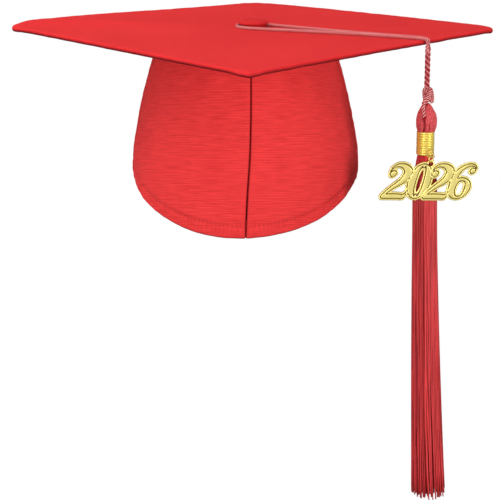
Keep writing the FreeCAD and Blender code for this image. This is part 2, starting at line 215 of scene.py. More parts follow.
def weave_group() -> bpy.types.NodeTree:
    """Plain weave: warp and weft threads that pass over each other in turn, with uneven weft and faint ribs.

    Returns:
        A group that puts out the cloth's height and a shade mask from a flat position in metres.
    """
    tree, g = new_group("plain_weave", {"Position": "NodeSocketVector", "Pitch": "NodeSocketFloat",
                                        "Rib": "NodeSocketFloat"},
                        {"Height": "NodeSocketFloat", "Shade": "NodeSocketFloat"})
    inside = g.add("NodeGroupInput")
    axes = g.add("ShaderNodeSeparateXYZ", {0: inside.outputs["Position"]})
    across = g.math("DIVIDE", axes.outputs[0], inside.outputs["Pitch"])
    along = g.math("DIVIDE", axes.outputs[1], inside.outputs["Pitch"])
    cell = g.math("ADD", g.math("FLOOR", across), g.math("FLOOR", along))
    over = g.math("PINGPONG", cell, 1.0)
    warp = g.math("ABSOLUTE", g.math("SINE", g.math("MULTIPLY", across, math.pi)))
    weft = g.math("ABSOLUTE", g.math("SINE", g.math("MULTIPLY", along, math.pi)))
    lifted = g.math("MULTIPLY", warp, over)
    passed = g.math("MULTIPLY", weft, g.math("SUBTRACT", 1.0, over))
    stretch = {"Vector": inside.outputs["Position"], "Scale": (60.0, 900.0, 1.0)}
    stretched = g.add("ShaderNodeMapping", stretch)
    slub = g.noise(stretched.outputs[0], 1.0, 3.0)
    height = g.math("ADD", g.math("ADD", lifted, passed), g.math("MULTIPLY", slub, 0.9))
    clear = g.remap(g.noise(inside.outputs["Position"], 42.0, 1.0), (0.34, 0.56), (0.25, 1.0))
    wave = g.math("SINE", g.math("MULTIPLY", axes.outputs[1], FULL_TURN / RIB_PITCH))
    rib = g.math("MULTIPLY", g.math("MULTIPLY", wave, clear), inside.outputs["Rib"])
    g.add("NodeGroupOutput", {"Height": height, "Shade": g.math("ADD", slub, rib)})
    return tree


def drift_group() -> bpy.types.NodeTree:
    """Slow change of tone over a surface, with finer mottling on top.

    Returns:
        A group that puts out a mask around one half from a position.
    """
    tree, g = new_group("tone_drift", {"Position": "NodeSocketVector", "Scale": "NodeSocketFloat"},
                        {"Mask": "NodeSocketFloat"})
    inside = g.add("NodeGroupInput")
    slow = g.noise(inside.outputs["Position"], inside.outputs["Scale"], 2.0)
    fine = g.noise(inside.outputs["Position"], g.math("MULTIPLY", inside.outputs["Scale"], 9.0), 4.0)
    both = g.math("ADD", g.math("MULTIPLY", slow, 0.65), g.math("MULTIPLY", fine, 0.35))
    g.add("NodeGroupOutput", {"Mask": both})
    return tree


def fibre_group() -> bpy.types.NodeTree:
    """Fine filaments that run along a yarn.

    Returns:
        A group that puts out a height and a tone mask from a position and its stretch.
    """
    tree, g = new_group("yarn_fibre", {"Position": "NodeSocketVector", "Stretch": "NodeSocketVector"},
                        {"Height": "NodeSocketFloat", "Tone": "NodeSocketFloat"})
    inside = g.add("NodeGroupInput")
    moved = g.add("ShaderNodeVectorMath", {0: inside.outputs["Position"], 1: inside.outputs["Stretch"]},
                  operation="MULTIPLY")
    hair = g.noise(moved.outputs[0], 1.0, 4.0, Roughness=0.6)
    g.add("NodeGroupOutput", {"Height": hair, "Tone": g.noise(moved.outputs[0], 0.16, 2.0)})
    return tree


class Effects:
    """The shader groups that materials share, each built once."""

    def __init__(self) -> None:
        """Build every group."""
        self.weave = weave_group()
        self.drift = drift_group()
        self.fibre = fibre_group()


def new_material(name: str) -> tuple[bpy.types.Material, Graph]:
    """Make an empty material and the graph that fills it in."""
    material = bpy.data.materials.new(name)
    material.use_nodes = True
    return material, Graph(material.node_tree)


def close_material(g: Graph, shader: bpy.types.Node) -> None:
    """Connect a shader to the material's output."""
    g.add("ShaderNodeOutputMaterial", {"Surface": shader.outputs[0]})


Colour = tuple[float, float, float]


def rgba(colour: Colour) -> tuple[float, float, float, float]:
    """Return the colour with an alpha of one."""
    return (*colour, 1.0)


@dataclass(frozen=True)
class ClothFinish:
    """Matt woven polyester with a little sheen."""

    name: str
    light: Colour
    dark: Colour
    pitch: float = 0.42 * MM
    bump: float = 0.30
    roughness: float = 0.74
    sheen: float = 0.05
    sheen_tint: Colour = (1.0, 0.25, 0.22)
    slub: float = 0.4
    rib: float = 0.0
    # Colour of the painted shade that the fold attribute mixes in.
    folded: Colour = (0.16, 0.001, 0.003)

    def build(self, effects: Effects) -> bpy.types.Material:
        """Make the material.

        Args:
            effects: the shared shader groups.

        Returns:
            The finished material, which reads the piece's own cloth UV map in metres.
        """
        material, g = new_material(self.name)
        flat = g.add("ShaderNodeUVMap", uv_map="cloth")
        weave = g.group(effects.weave, {"Pitch": self.pitch, "Rib": self.rib, "Position": flat.outputs[0]})
        place = g.add("ShaderNodeTexCoord").outputs["Object"]
        drift = g.group(effects.drift, {"Scale": 14.0, "Position": place})
        tone = g.math("ADD", g.math("MULTIPLY", drift.outputs[0], 1.0 - self.slub),
                      g.math("MULTIPLY", weave.outputs[1], self.slub))
        plain = g.mix(g.remap(tone, (0.36, 0.64)), rgba(self.dark), rgba(self.light))
        # Painted shade: the fold attribute darkens the cloth towards the folded colour in seams, along
        # stitching, in puckers and under the board's edge.
        sunk = g.add("ShaderNodeAttribute", attribute_name="fold")
        colour = g.mix(sunk.outputs["Fac"], plain, rgba(self.folded))
        bump = g.add("ShaderNodeBump", {"Strength": self.bump, "Distance": self.pitch * 0.5,
                                        "Height": weave.outputs[0]})
        rough = g.remap(weave.outputs[1], target=(self.roughness - 0.06, self.roughness + 0.06))
        shader = g.add("ShaderNodeBsdfPrincipled",
                       {"Base Color": colour, "Roughness": rough, "Normal": bump.outputs[0],
                        "Sheen Weight": self.sheen, "Sheen Roughness": 0.45,
                        "Sheen Tint": rgba(self.sheen_tint), "Specular IOR Level": 0.12})
        close_material(g, shader)
        return material


@dataclass(frozen=True)
class YarnFinish:
    """Lustrous rayon yarn, its light and dark colours mixed in as painted highlight and painted shade."""

    name: str
    light: Colour
    dark: Colour
    stretch: tuple[float, float, float] = (2600.0, 2600.0, 160.0)
    bump: float = 0.35
    roughness: float = 0.42
    sheen: float = 0.12
    ridge_power: float = 1.6
    mottle: float = 0.25
    gloss: float = 0.5

    def build(self, effects: Effects) -> bpy.types.Material:
        """Make the material.

        Args:
            effects: the shared shader groups.

        Returns:
            The finished material, which reads the piece's Object coordinates.
        """
        material, g = new_material(self.name)
        place = g.add("ShaderNodeTexCoord")
        fibre = g.group(effects.fibre, {"Stretch": self.stretch, "Position": place.outputs["Object"]})
        contrast = g.remap(fibre.outputs["Tone"], (0.34, 0.66))
        # Painted light: this attribute mixes in the light colour as a painted highlight and the dark colour
        # as painted shade, in grooves, creases and between threads.
        ridge = g.add("ShaderNodeAttribute", attribute_name="ridge")
        raised = g.math("POWER", ridge.outputs["Fac"], self.ridge_power)
        tone = g.math("ADD", g.math("MULTIPLY", raised, 1.0 - self.mottle),
                      g.math("MULTIPLY", contrast, self.mottle))
        colour = g.mix(tone, rgba(self.dark), rgba(self.light))
        bump = g.add("ShaderNodeBump", {"Strength": self.bump, "Distance": 0.08 * MM,
                                        "Height": fibre.outputs["Height"]})
        rough = g.remap(fibre.outputs["Height"], target=(self.roughness - 0.07, self.roughness + 0.10))
        shader = g.add("ShaderNodeBsdfPrincipled",
                       {"Base Color": colour, "Roughness": rough, "Normal": bump.outputs[0],
                        "Sheen Weight": self.sheen, "Sheen Roughness": 0.35,
                        "Sheen Tint": (1.0, 0.45, 0.43, 1.0), "Specular IOR Level": self.gloss})
        close_material(g, shader)
        return material


@dataclass(frozen=True)
class MetalFinish:
    """Metal with fine scratches, darker in its hollows where a mask says so."""

    name: str
    colour: Colour
    roughness: float
    scratch: float = 0.12
    metallic: float = 1.0
    hollow: Colour = (0.0, 0.0, 0.0)
    mask: str = ""

    def build(self, effects: Effects) -> bpy.types.Material:
        """Make the material.

        Args:
            effects: the shared shader groups.

        Returns:
            The finished material, on Object coordinates.
        """
        material, g = new_material(self.name)
        place = g.add("ShaderNodeTexCoord").outputs["Object"]
        drift = g.group(effects.drift, {"Scale": 160.0, "Position": place})
        rough = g.remap(drift.outputs[0], (0.3, 0.7), (self.roughness - 0.07, self.roughness + 0.10))
        tint = g.mix(drift.outputs[0], rgba(self.colour), rgba(tuple(0.90 * c for c in self.colour)))
        if self.mask:
            mask = g.add("ShaderNodeAttribute", attribute_name=self.mask)
            tint = g.mix(mask.outputs["Fac"], tint, rgba(self.hollow))
        bump = g.add("ShaderNodeBump", {"Strength": self.scratch, "Distance": 0.03 * MM,
                                        "Height": g.noise(place, 5200.0, 2.0)})
        shader = g.add("ShaderNodeBsdfPrincipled", {"Base Color": tint, "Metallic": self.metallic,
                                                    "Roughness": rough, "Normal": bump.outputs[0]})
        close_material(g, shader)
        return material


@dataclass(frozen=True)
class BoardFinish:
    """Dense greyboard with flecks."""

    name: str
    light: Colour
    dark: Colour

    def build(self, effects: Effects) -> bpy.types.Material:
        """Make the material.

        Args:
            effects: the shared shader groups.

        Returns:
            The finished material, on Object coordinates.
        """
        material, g = new_material(self.name)
        place = g.add("ShaderNodeTexCoord").outputs["Object"]
        drift = g.group(effects.drift, {"Scale": 300.0, "Position": place})
        colour = g.mix(drift.outputs[0], rgba(self.dark), rgba(self.light))
        bump = g.add("ShaderNodeBump", {"Strength": 0.2, "Distance": 0.1 * MM, "Height": drift.outputs[0]})
        shader = g.add("ShaderNodeBsdfPrincipled", {"Base Color": colour, "Roughness": 0.85,
                                                    "Normal": bump.outputs[0]})
        close_material(g, shader)
        return material


class Palette:
    """Every finish of the cap, built once."""

    def __init__(self, effects: Effects) -> None:
        """Build the materials.

        Args:
            effects: the shared shader groups.
        """
        self.board = ClothFinish("red_board_cloth", (0.67, 0.022, 0.024), (0.59, 0.015, 0.018)).build(effects)
        self.crown = ClothFinish("red_crown_cloth", (0.82, 0.044, 0.044), (0.64, 0.028, 0.030),
                                 pitch=0.5 * MM, bump=0.4, slub=0.7, rib=0.085).build(effects)
        # The button wears a darker copy of the board's cloth: painted shade that evens out the extra light
        # its dome catches.
        self.button = ClothFinish("red_button_cloth_shaded", (0.58, 0.020, 0.022),
                                  (0.48, 0.012, 0.015)).build(effects)
        self.tape = ClothFinish("red_seam_tape", (0.55, 0.02, 0.024), (0.45, 0.015, 0.02),
                                pitch=0.7 * MM).build(effects)
        self.sweat = ClothFinish("red_sweatband", (0.60, 0.03, 0.034), (0.50, 0.02, 0.024), pitch=0.9 * MM,
                                 bump=0.6).build(effects)
        # grey is the painted shade colour for the white elastic and label.
        white, grey = (1.0, 1.0, 1.0), (0.4, 0.4, 0.38)
        self.elastic = ClothFinish("white_elastic", (0.75, 0.74, 0.70), (0.62, 0.61, 0.58), pitch=1.1 * MM,
                                   bump=0.8, sheen_tint=white, folded=grey).build(effects)
        self.label = ClothFinish("blank_label", (0.80, 0.80, 0.77), (0.72, 0.72, 0.69), pitch=0.3 * MM,
                                 roughness=0.5, sheen_tint=white, folded=grey).build(effects)
        self.stitch = YarnFinish("red_sewing_thread", (0.62, 0.02, 0.026), (0.55, 0.016, 0.022),
                                 stretch=(3000.0, 3000.0, 3000.0)).build(effects)
        # The cord's pale pink is a painted highlight on the ply crests, its dark red painted shade in the
        # grooves.
        self.cord = YarnFinish("red_rayon_cord", (1.0, 0.50, 0.50), (0.34, 0.003, 0.008), mottle=0.10,
                               ridge_power=1.3, sheen=0.0, gloss=0.08,
                               stretch=(2200.0, 2200.0, 2200.0)).build(effects)
        # The skirt threads' dark colour is painted shade between the threads and inside the skirt.
        self.thread = YarnFinish("red_tassel_thread", (0.98, 0.060, 0.065), (0.20, 0.001, 0.002),
                                 sheen=0.04).build(effects)
        # The head's pink is a painted highlight on its threads, its dark red painted shade in its creases.
        self.head = YarnFinish("red_head_thread", (0.98, 0.15, 0.16), (0.20, 0.001, 0.004), mottle=0.36,
                               sheen=0.0, gloss=0.12, bump=0.9,
                               stretch=(9000.0, 9000.0, 4500.0)).build(effects)
        self.core = YarnFinish("tassel_shadow", (0.22, 0.004, 0.008), (0.12, 0.002, 0.005)).build(effects)
        self.gold = MetalFinish("gold_plate", (0.90, 0.70, 0.18), roughness=0.34).build(effects)
        self.binding = MetalFinish("gold_binding", (0.92, 0.72, 0.15), roughness=0.36,
                                   metallic=0.6).build(effects)
        self.charm = MetalFinish("gold_charm", (0.99, 0.84, 0.27), roughness=0.34, metallic=0.58,
                                 hollow=(0.09, 0.05, 0.008), mask="hollow").build(effects)
        self.steel = MetalFinish("plain_steel", (0.56, 0.56, 0.55), roughness=0.36).build(effects)
        self.panel = BoardFinish("grey_board", (0.62, 0.60, 0.55), (0.46, 0.44, 0.40)).build(effects)


# ---- mesh tools ----------------------------------------------------------------------------------
def smooth_marks(marks: Sequence[tuple[float, float]], at: float) -> float:
    """Smooth curve through a few marks, with each mark's slope taken from its neighbours.

    Args:
        marks: (position, value) pairs in rising order of position.
        at: where to read the curve.

    Returns:
        The curve's value, held level past the first and the last mark.
    """
    if at <= marks[0][0]:
        return marks[0][1]
    if at >= marks[-1][0]:
        return marks[-1][1]
    i = max(k for k in range(len(marks) - 1) if marks[k][0] <= at)

    def slope(k: int) -> float:
        a, b = marks[max(k - 1, 0)], marks[min(k + 1, len(marks) - 1)]
        return (b[1] - a[1]) / (b[0] - a[0])

    (x0, y0), (x1, y1) = marks[i], marks[i + 1]
    run = x1 - x0
    t = (at - x0) / run
    return ((2 * t ** 3 - 3 * t ** 2 + 1) * y0 + (t ** 3 - 2 * t ** 2 + t) * run * slope(i)
            + (3 * t ** 2 - 2 * t ** 3) * y1 + (t ** 3 - t ** 2) * run * slope(i + 1))


def ease(value: float) -> float:
    """Smoothstep of a value held between zero and one."""
    t = min(max(value, 0.0), 1.0)
    return t * t * (3.0 - 2.0 * t)


def bumps(x: float, y: float, z: float, size: float) -> float:
    """Smooth seeded noise, from about -0.5 to 0.5, with lumps of the given size."""
    return noise.noise(Vector((x, y, z)) / size) * 0.5


def write_cloth_map(bm: bmesh.types.BMesh) -> None:
    """Keep each corner's flat position in metres as the UV map that the weave follows."""
    layer = bm.loops.layers.uv.new("cloth")
    for face in bm.faces:
        for loop in face.loops:
            loop[layer].uv = (loop.vert.co.x, loop.vert.co.y)


def move(bm: bmesh.types.BMesh, place: Callable[[Vector], Vector]) -> None:
    """Move every vertex to where the function puts it."""
    for vert in bm.verts:
        vert.co = place(vert.co)


def write_painted_shade(bm: bmesh.types.BMesh, depth: Callable[[Vector], float]) -> None:
    """Write how much painted shade each point of flat cloth gets in a seam, a fold or under an edge, from 0
    to 1.
    """
    layer = bm.verts.layers.float.new("fold")
    for vert in bm.verts:
        vert[layer] = depth(vert.co)


def lathe(profile: Sequence[tuple[float, float]], steps: int) -> bmesh.types.BMesh:
    """Turn a profile round the Z axis.

    Args:
        profile: (radius, height) points.
        steps: faces round the axis.

    Returns:
        A new mesh, open where the profile ends off the axis.
    """
    bm = bmesh.new()
    verts = [bm.verts.new((radius, 0.0, height)) for radius, height in profile]
    for pair in zip(verts, verts[1:]):
        bm.edges.new(pair)
    bmesh.ops.spin(bm, geom=bm.verts[:] + bm.edges[:], cent=(0, 0, 0), axis=(0, 0, 1), angle=FULL_TURN,
                   steps=steps, use_merge=True)
    bmesh.ops.remove_doubles(bm, verts=bm.verts[:], dist=MERGE)
    return bm


def close_ends(bm: bmesh.types.BMesh) -> None:
    """Fill a mesh's open rims."""
    bmesh.ops.holes_fill(bm, edges=[e for e in bm.edges if e.is_boundary], sides=0)


def turn_outward(bm: bmesh.types.BMesh) -> None:
    """Turn a mesh's normals outward."""
    bmesh.ops.recalc_face_normals(bm, faces=bm.faces[:])


def make_object(name: str, bm: bmesh.types.BMesh, material: bpy.types.Material,
                slot: Slot, smooth: bool = True) -> bpy.types.Object:
    """Turn a finished bmesh into an object that wears one material.

    Args:
        name: the piece's name.
        bm: its mesh, in the frame; it is freed.
        material: what it is dressed in.
        slot: the record's slot for its finish; not used.
        smooth: whether its faces are shaded smooth.

    Returns:
        The new object, linked into the scene.
    """
    mesh = bpy.data.meshes.new(name)
    for face in bm.faces:
        face.smooth = smooth
    bm.to_mesh(mesh)
    bm.free()
    mesh.materials.append(material)
    piece = bpy.data.objects.new(name, mesh)
    bpy.context.scene.collection.objects.link(piece)
    LOG.info("%s: %d faces", name, len(mesh.polygons))
    return piece


def thicken(piece: bpy.types.Object, thickness: float, offset: float = -1.0) -> None:
    """Give a sheet its thickness, on the inner side or, with an offset of 0, on both."""
    shell = piece.modifiers.new("thickness", "SOLIDIFY")
    shell.thickness = thickness
    shell.offset = offset


def ride_cap(piece: bpy.types.Object, *nodes: str) -> bpy.types.Object:
    """Fix a piece to the cap in the place of some CAD nodes."""
    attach(piece, Body.CAP.value)
    if nodes:
        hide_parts(*nodes)
    return piece


def transport(path: Sequence[Vector]) -> list[tuple[Vector, Vector, Vector]]:
    """Frames along a path that turn no more than the path does.

    Args:
        path: points along the line.

    Returns:
        (normal, binormal, tangent) at each point.
    """
    frames = []
    last = len(path) - 1
    tangent = (path[1] - path[0]).normalized()
    normal = tangent.orthogonal().normalized()
    for i in range(len(path)):
        heading = (path[min(i + 1, last)] - path[max(i - 1, 0)]).normalized()
        normal = tangent.rotation_difference(heading) @ normal
        normal = (normal - heading * normal.dot(heading)).normalized()
        tangent = heading
        frames.append((normal, heading.cross(normal), heading))
    return frames


def sweep(bm: bmesh.types.BMesh, path: Sequence[Vector], radius: Callable[[float], float], sides: int,
          raised: Callable[[int, Vector], float]) -> None:
    """Add a capped tube along a path.

    Args:
        bm: the mesh that gets the tube.
        path: points along its centre.
        radius: its radius at a share of the way along, from 0 to 1.
        sides: how many sides its section has.
        raised: the painted light on the surface, from 0 (painted shade in a groove) to 1 (painted highlight
            on a crest), at the path's point of that index and a surface point.
    """
    part = bmesh.new()
    # Mask of painted light for the yarn: painted highlight where it is 1, painted shade where it is 0.
    ridge = part.verts.layers.float.new("ridge")
    bmesh.ops.create_cone(part, cap_ends=True, segments=sides, radius1=1.0, radius2=1.0, depth=1.0)
    uprights = [e for e in part.edges if abs(e.verts[0].co.z - e.verts[1].co.z) > 0.5]
    bmesh.ops.subdivide_edges(part, edges=uprights, cuts=len(path) - 2)
    frames = transport(path)
    for vert in part.verts:
        share = vert.co.z + 0.5
        i = round(share * (len(path) - 1))
        normal, binormal, _ = frames[i]
        vert.co = path[i] + (normal * vert.co.x + binormal * vert.co.y) * radius(share)
        vert[ridge] = raised(i, vert.co)
    spare = bpy.data.meshes.new("tube")
    part.to_mesh(spare)
    part.free()
    bm.from_mesh(spare)
    bpy.data.meshes.remove(spare)


def nurbs_line(points: Sequence[Vector], step: float) -> list[Vector]:
    """Points evenly spaced along the smooth line that a route's control points give.

    Args:
        points: the control points.
        step: the spacing wanted.

    Returns:
        The points, from one end to the other.
    """
    data = bpy.data.curves.new("route", "CURVE")
    data.dimensions = "3D"
    data.resolution_u = 24
    spline = data.splines.new("NURBS")
    spline.points.add(len(points) - 1)
    for target, point in zip(spline.points, points):
        target.co = (*point, 1.0)
    spline.order_u = 3
    spline.use_endpoint_u = True
    carrier = bpy.data.objects.new("route", data)
    bpy.context.scene.collection.objects.link(carrier)
    bpy.context.view_layer.update()
    mesh = bpy.data.meshes.new_from_object(carrier)
    line = [v.co.copy() for v in mesh.vertices]
    bpy.data.meshes.remove(mesh)
    bpy.data.objects.remove(carrier)
    bpy.data.curves.remove(data)
    return even(line, step)


def even(line: Sequence[Vector], step: float) -> list[Vector]:
    """Spread points evenly along a line."""
    cloud = np.array([tuple(p) for p in line])
    lengths = np.linalg.norm(np.diff(cloud, axis=0), axis=1)
    reach = np.concatenate([[0.0], np.cumsum(lengths)])
    stops = np.linspace(0.0, reach[-1], max(int(round(reach[-1] / step)), 2) + 1)
    spread = [np.interp(stops, reach, cloud[:, k]) for k in range(3)]
    return [Vector(p) for p in zip(*spread)]


def length_of(line: Sequence[Vector]) -> float:
    """Return how long a line of points is."""
    return sum((b - a).length for a, b in zip(line, line[1:]))


def plies(line: Sequence[Vector], count: int, offset: float, lay: float) -> list[list[Vector]]:
    """Centres of the plies that are twisted round a line.

    Args:
        line: evenly spaced points along the strand.
        count: how many plies there are.
        offset: each ply's distance from the strand's centre.
        lay: length in which a ply goes round once.

    Returns:
        One list of points for each ply.
    """
    frames = transport(line)
    step = (line[1] - line[0]).length
    found = []
    for k in range(count):
        ply = []
        for i, (point, (normal, binormal, _)) in enumerate(zip(line, frames)):
            turn = FULL_TURN * (k / count + i * step / lay)
            ply.append(point + normal * math.cos(turn) * offset + binormal * math.sin(turn) * offset)
        found.append(ply)
    return found


def above(point: Vector, centre: Vector, radius: float) -> float:
    """Return 1 where a point is on the outer radius round a centre, falling to 0 in the grooves."""
    return ease(((point - centre).length / radius - 0.93) / 0.045)


def rope(bm: bmesh.types.BMesh, line: Sequence[Vector], radius: float, lay: float, sides: int = 16,
         taper: Callable[[float], float] = lambda share: 1.0, plain: float = 0.0,
         outer: Callable[[int, Vector], float] = lambda i, point: 1.0) -> None:
    """Add a strand of three twisted plies.

    Args:
        bm: the mesh that gets it.
        line: evenly spaced points along its centre.
        radius: the strand's outer radius.
        lay: length in which a ply goes round once.
        sides: sides of each ply's section.
        taper: scale of the plies at a share of the way along.
        plain: how far the grooves between its plies are painted as light as the ridges, instead of in painted
            shade.
        outer: how raised a point is on the larger rope that the strand is part of; it scales the painted
            highlight.
    """
    ply_r = radius / (1.0 + 2.0 / math.sqrt(3.0))
    # Each ply gets painted highlight on the strand's outer ridges and painted shade in the grooves.
    for ply in plies(line, 3, radius - ply_r, lay):
        sweep(bm, ply, lambda share: ply_r * 0.96 * taper(share), sides,
              lambda i, point: (plain + (1.0 - plain) * above(point, line[i], radius)) * outer(i, point))


# ---- board ---------------------------------------------------------------------------------------
@dataclass
class MortarBoard:
    """The covered square board: a sheet stretched over the stiff panel, and a second sheet under it."""

    palette: Palette
    corner_r: float = 12.0 * MM
    front_corner_r: float = 2.0 * MM
    left_corner_r: float = 7.0 * MM
    edge_r: float = 1.4 * MM
    sheet_t: float = 0.4 * MM
    turned_under: float = 9.0 * MM
    warp_side: float = 1.0 * MM
    warp_front: float = -1.9 * MM
    warp_back: float = -2.9 * MM
    warp_left: float = 3.0 * MM
    under_half: float = 114.0 * MM
    half: float = field(init=False)
    top: float = field(init=False)
    low: float = field(init=False)
    reach: float = field(init=False)

    def __post_init__(self) -> None:
        """Take the board's size from the frame."""
        low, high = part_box("cover_top")
        self.reach = high.x
        self.half = (high.x + self.corner_r * (ROOT_2 - 1.0)) / ROOT_2
        self.top, self.low = high.z, low.z

    def turned(self, x: float, y: float) -> tuple[float, float]:
        """Turn a point of the square sheet so that a corner is at the front."""
        return (x + y) / ROOT_2, (y - x) / ROOT_2

    def warp(self, x: float, y: float) -> float:
        """Return how far the board's own curl lifts a point; most along the back left edge."""
        curl = self.warp_front if y < 0 else self.warp_back
        left = ease((-x / self.reach - 0.1) / 0.6) * ease((y / MM + 8.0) / 24.0) * (1.0 - y / self.reach)
        return self.warp_side * (x / self.reach) ** 2 + curl * (y / self.reach) ** 2 + self.warp_left * left

    def profile(self, beyond: float) -> tuple[float, float]:
        """Section of the cover where it goes over the edge.

        Args:
            beyond: distance along the cloth past the flat top's end.

        Returns:
            (distance out from the flat top's end, height).
        """
        r = self.edge_r
        quarter = r * math.pi / 2
        side = self.top - self.low - 2 * r
        if beyond < quarter:
            turn = beyond / r
            return r * math.sin(turn), self.top - r * (1 - math.cos(turn))
        if beyond < quarter + side:
            return r, self.top - r - (beyond - quarter)
        if beyond < 2 * quarter + side:
            turn = (beyond - quarter - side) / r
            return r * math.cos(turn), self.low + r * (1 - math.sin(turn))
        return -(beyond - 2 * quarter - side), self.low

    def ring_point(self, flat: Vector, size: float) -> tuple[float, float]:
        """Point of the rounded square of a size, in the direction of a flat point.

        Args:
            flat: position on the uncut sheet.
            size: half side of the rounded square.

        Returns:
            (x, y) before the square is turned corner to the front.
        """
        most = max(abs(flat.x), abs(flat.y), 1e-9)
        x, y = flat.x / most * size, flat.y / most * size
        corner = self.corner_r
        if y < 0:
            corner = self.front_corner_r if x > 0 else self.left_corner_r if x < 0 else corner
        r = max(corner - (self.half - size), 0.3 * MM)
        inner = size - r
        if abs(x) <= inner or abs(y) <= inner:
            return x, y
        u, v = (abs(x) - inner) / r, (abs(y) - inner) / r
        cx = inner + r * u * math.sqrt(1 - v * v / 2)
        cy = inner + r * v * math.sqrt(1 - u * u / 2)
        return math.copysign(cx, x), math.copysign(cy, y)

    def lay_over(self, flat: Vector) -> Vector:
        """Where a point of the flat sheet ends up on the board."""
        level = self.half - self.edge_r
        most = max(abs(flat.x), abs(flat.y))
        out, height = (most - level, self.top) if most <= level else self.profile(most - level)
        turned = self.turned(*self.ring_point(flat, level + out))
        ripple = 0.35 * MM * bumps(turned[0], turned[1], 3.0, 46.0 * MM)
        near_edge = ease(1.0 - (level - most) / (14.0 * MM)) if most < level else 1.0
        pucker = 0.45 * MM * bumps(turned[0], turned[1], 9.0, 7.0 * MM) * near_edge
        tuck = self.corner_fold(*turned) if most > level - 2.0 * MM else 0.0
        return Vector((*turned, height + self.warp(*turned) + ripple + pucker + tuck))

    def corner_fold(self, x: float, y: float) -> float:
        """Return how far the folded cloth hangs down close to each corner."""
        apart = max(abs(x), abs(y))
        along = (self.reach - apart) / (7.0 * MM)
        return -0.5 * MM * ease(1.0 - along) if along < 1.0 else 0.0

    def cover(self) -> bpy.types.Object:
        """Make the sheet that is stretched over the top and turned under.

        Returns:
            The sheet, fixed to the cap.
        """
        quarter = self.edge_r * math.pi / 2
        level = self.half - self.edge_r
        cut = level + 2 * quarter + (self.top - self.low - 2 * self.edge_r) + self.turned_under
        rim_from, rim_share, cells = self.half - 6.0 * MM, 0.60, 150

        def spread(t: float) -> float:
            size = abs(t)
            if size < rim_share:
                value = rim_from * size / rim_share
            else:
                value = rim_from + (cut - rim_from) * (size - rim_share) / (1.0 - rim_share)
            return math.copysign(value, t)

        # Painted shade: the board's edge is painted darker towards its underside, where the cloth turns
        # under.
        def shadow(flat: Vector) -> float:
            over = (max(abs(flat.x), abs(flat.y)) - level) / MM
            return 0.35 * ease((over - 1.0) / 1.3) + 0.65 * ease((over - 2.3) / 0.8)

        bm = bmesh.new()
        bmesh.ops.create_grid(bm, x_segments=cells, y_segments=cells, size=1.0)
        move(bm, lambda p: Vector((spread(p.x), spread(p.y), 0.0)))
        write_cloth_map(bm)
        write_painted_shade(bm, shadow)
        move(bm, self.lay_over)
        piece = ride_cap(make_object("board_cover", bm, self.palette.board, Slot.BOARD), "cover_top")
        thicken(piece, self.sheet_t)
        return piece

    def underside(self) -> bpy.types.Object:
        """Make the smaller sheet that closes the underside.

        Returns:
            The sheet, fixed to the cap.
        """
        bm = bmesh.new()
        bmesh.ops.create_grid(bm, x_segments=90, y_segments=90, size=self.under_half)
        write_cloth_map(bm)

        def place(flat: Vector) -> Vector:
            most = max(abs(flat.x), abs(flat.y)) / self.under_half
            x, y = self.turned(flat.x, flat.y)
            sewn = ease((most - 0.985) / 0.015)
            ripple = 0.35 * MM * bumps(x, y, 21.0, 30.0 * MM) * (1.0 - sewn)
            return Vector((x, y, self.low - 0.45 * MM + 0.5 * MM * sewn + ripple + self.warp(x, y)))

        move(bm, place)
        bmesh.ops.reverse_faces(bm, faces=bm.faces[:])
        piece = ride_cap(make_object("underside_cover", bm, self.palette.board, Slot.BOARD), "cover_bottom")
        thicken(piece, self.sheet_t)
        return piece

    def panel(self) -> bpy.types.Object:
        """Make the stiff panel between the sheets, curled as the board is.

        Returns:
            The panel, fixed to the cap.
        """
        low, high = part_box("board_core")
        half, hole, gap = self.half - 1.3 * MM, 1.8 * MM, 0.15 * MM
        bm = bmesh.new()
        bmesh.ops.create_grid(bm, x_segments=60, y_segments=60, size=half)
        middle = [v for v in bm.verts if v.co.length < 0.5 * MM]
        bmesh.ops.bevel(bm, geom=middle, offset=hole, affect="VERTICES", segments=4, profile=0.5, material=-1)

        def place(p: Vector) -> Vector:
            x, y = self.turned(*self.ring_point(p, max(abs(p.x), abs(p.y))))
            return Vector((x, y, high.z - gap + self.warp(x, y)))

        move(bm, place)
        made = make_object("stiff_panel", bm, self.palette.panel, Slot.PANEL, smooth=False)
        piece = ride_cap(made, "board_core")
        thicken(piece, high.z - low.z - 2 * gap)
        return piece

    def build(self) -> None:
        """Make the panel and both sheets."""
        self.panel()
        self.cover()
        self.underside()


# ---- crown ---------------------------------------------------------------------------------------
class Panel(Enum):
    """The crown's three panels."""

    LEFT = "crown_front_left"
    RIGHT = "crown_front_right"
    BACK = "crown_back"


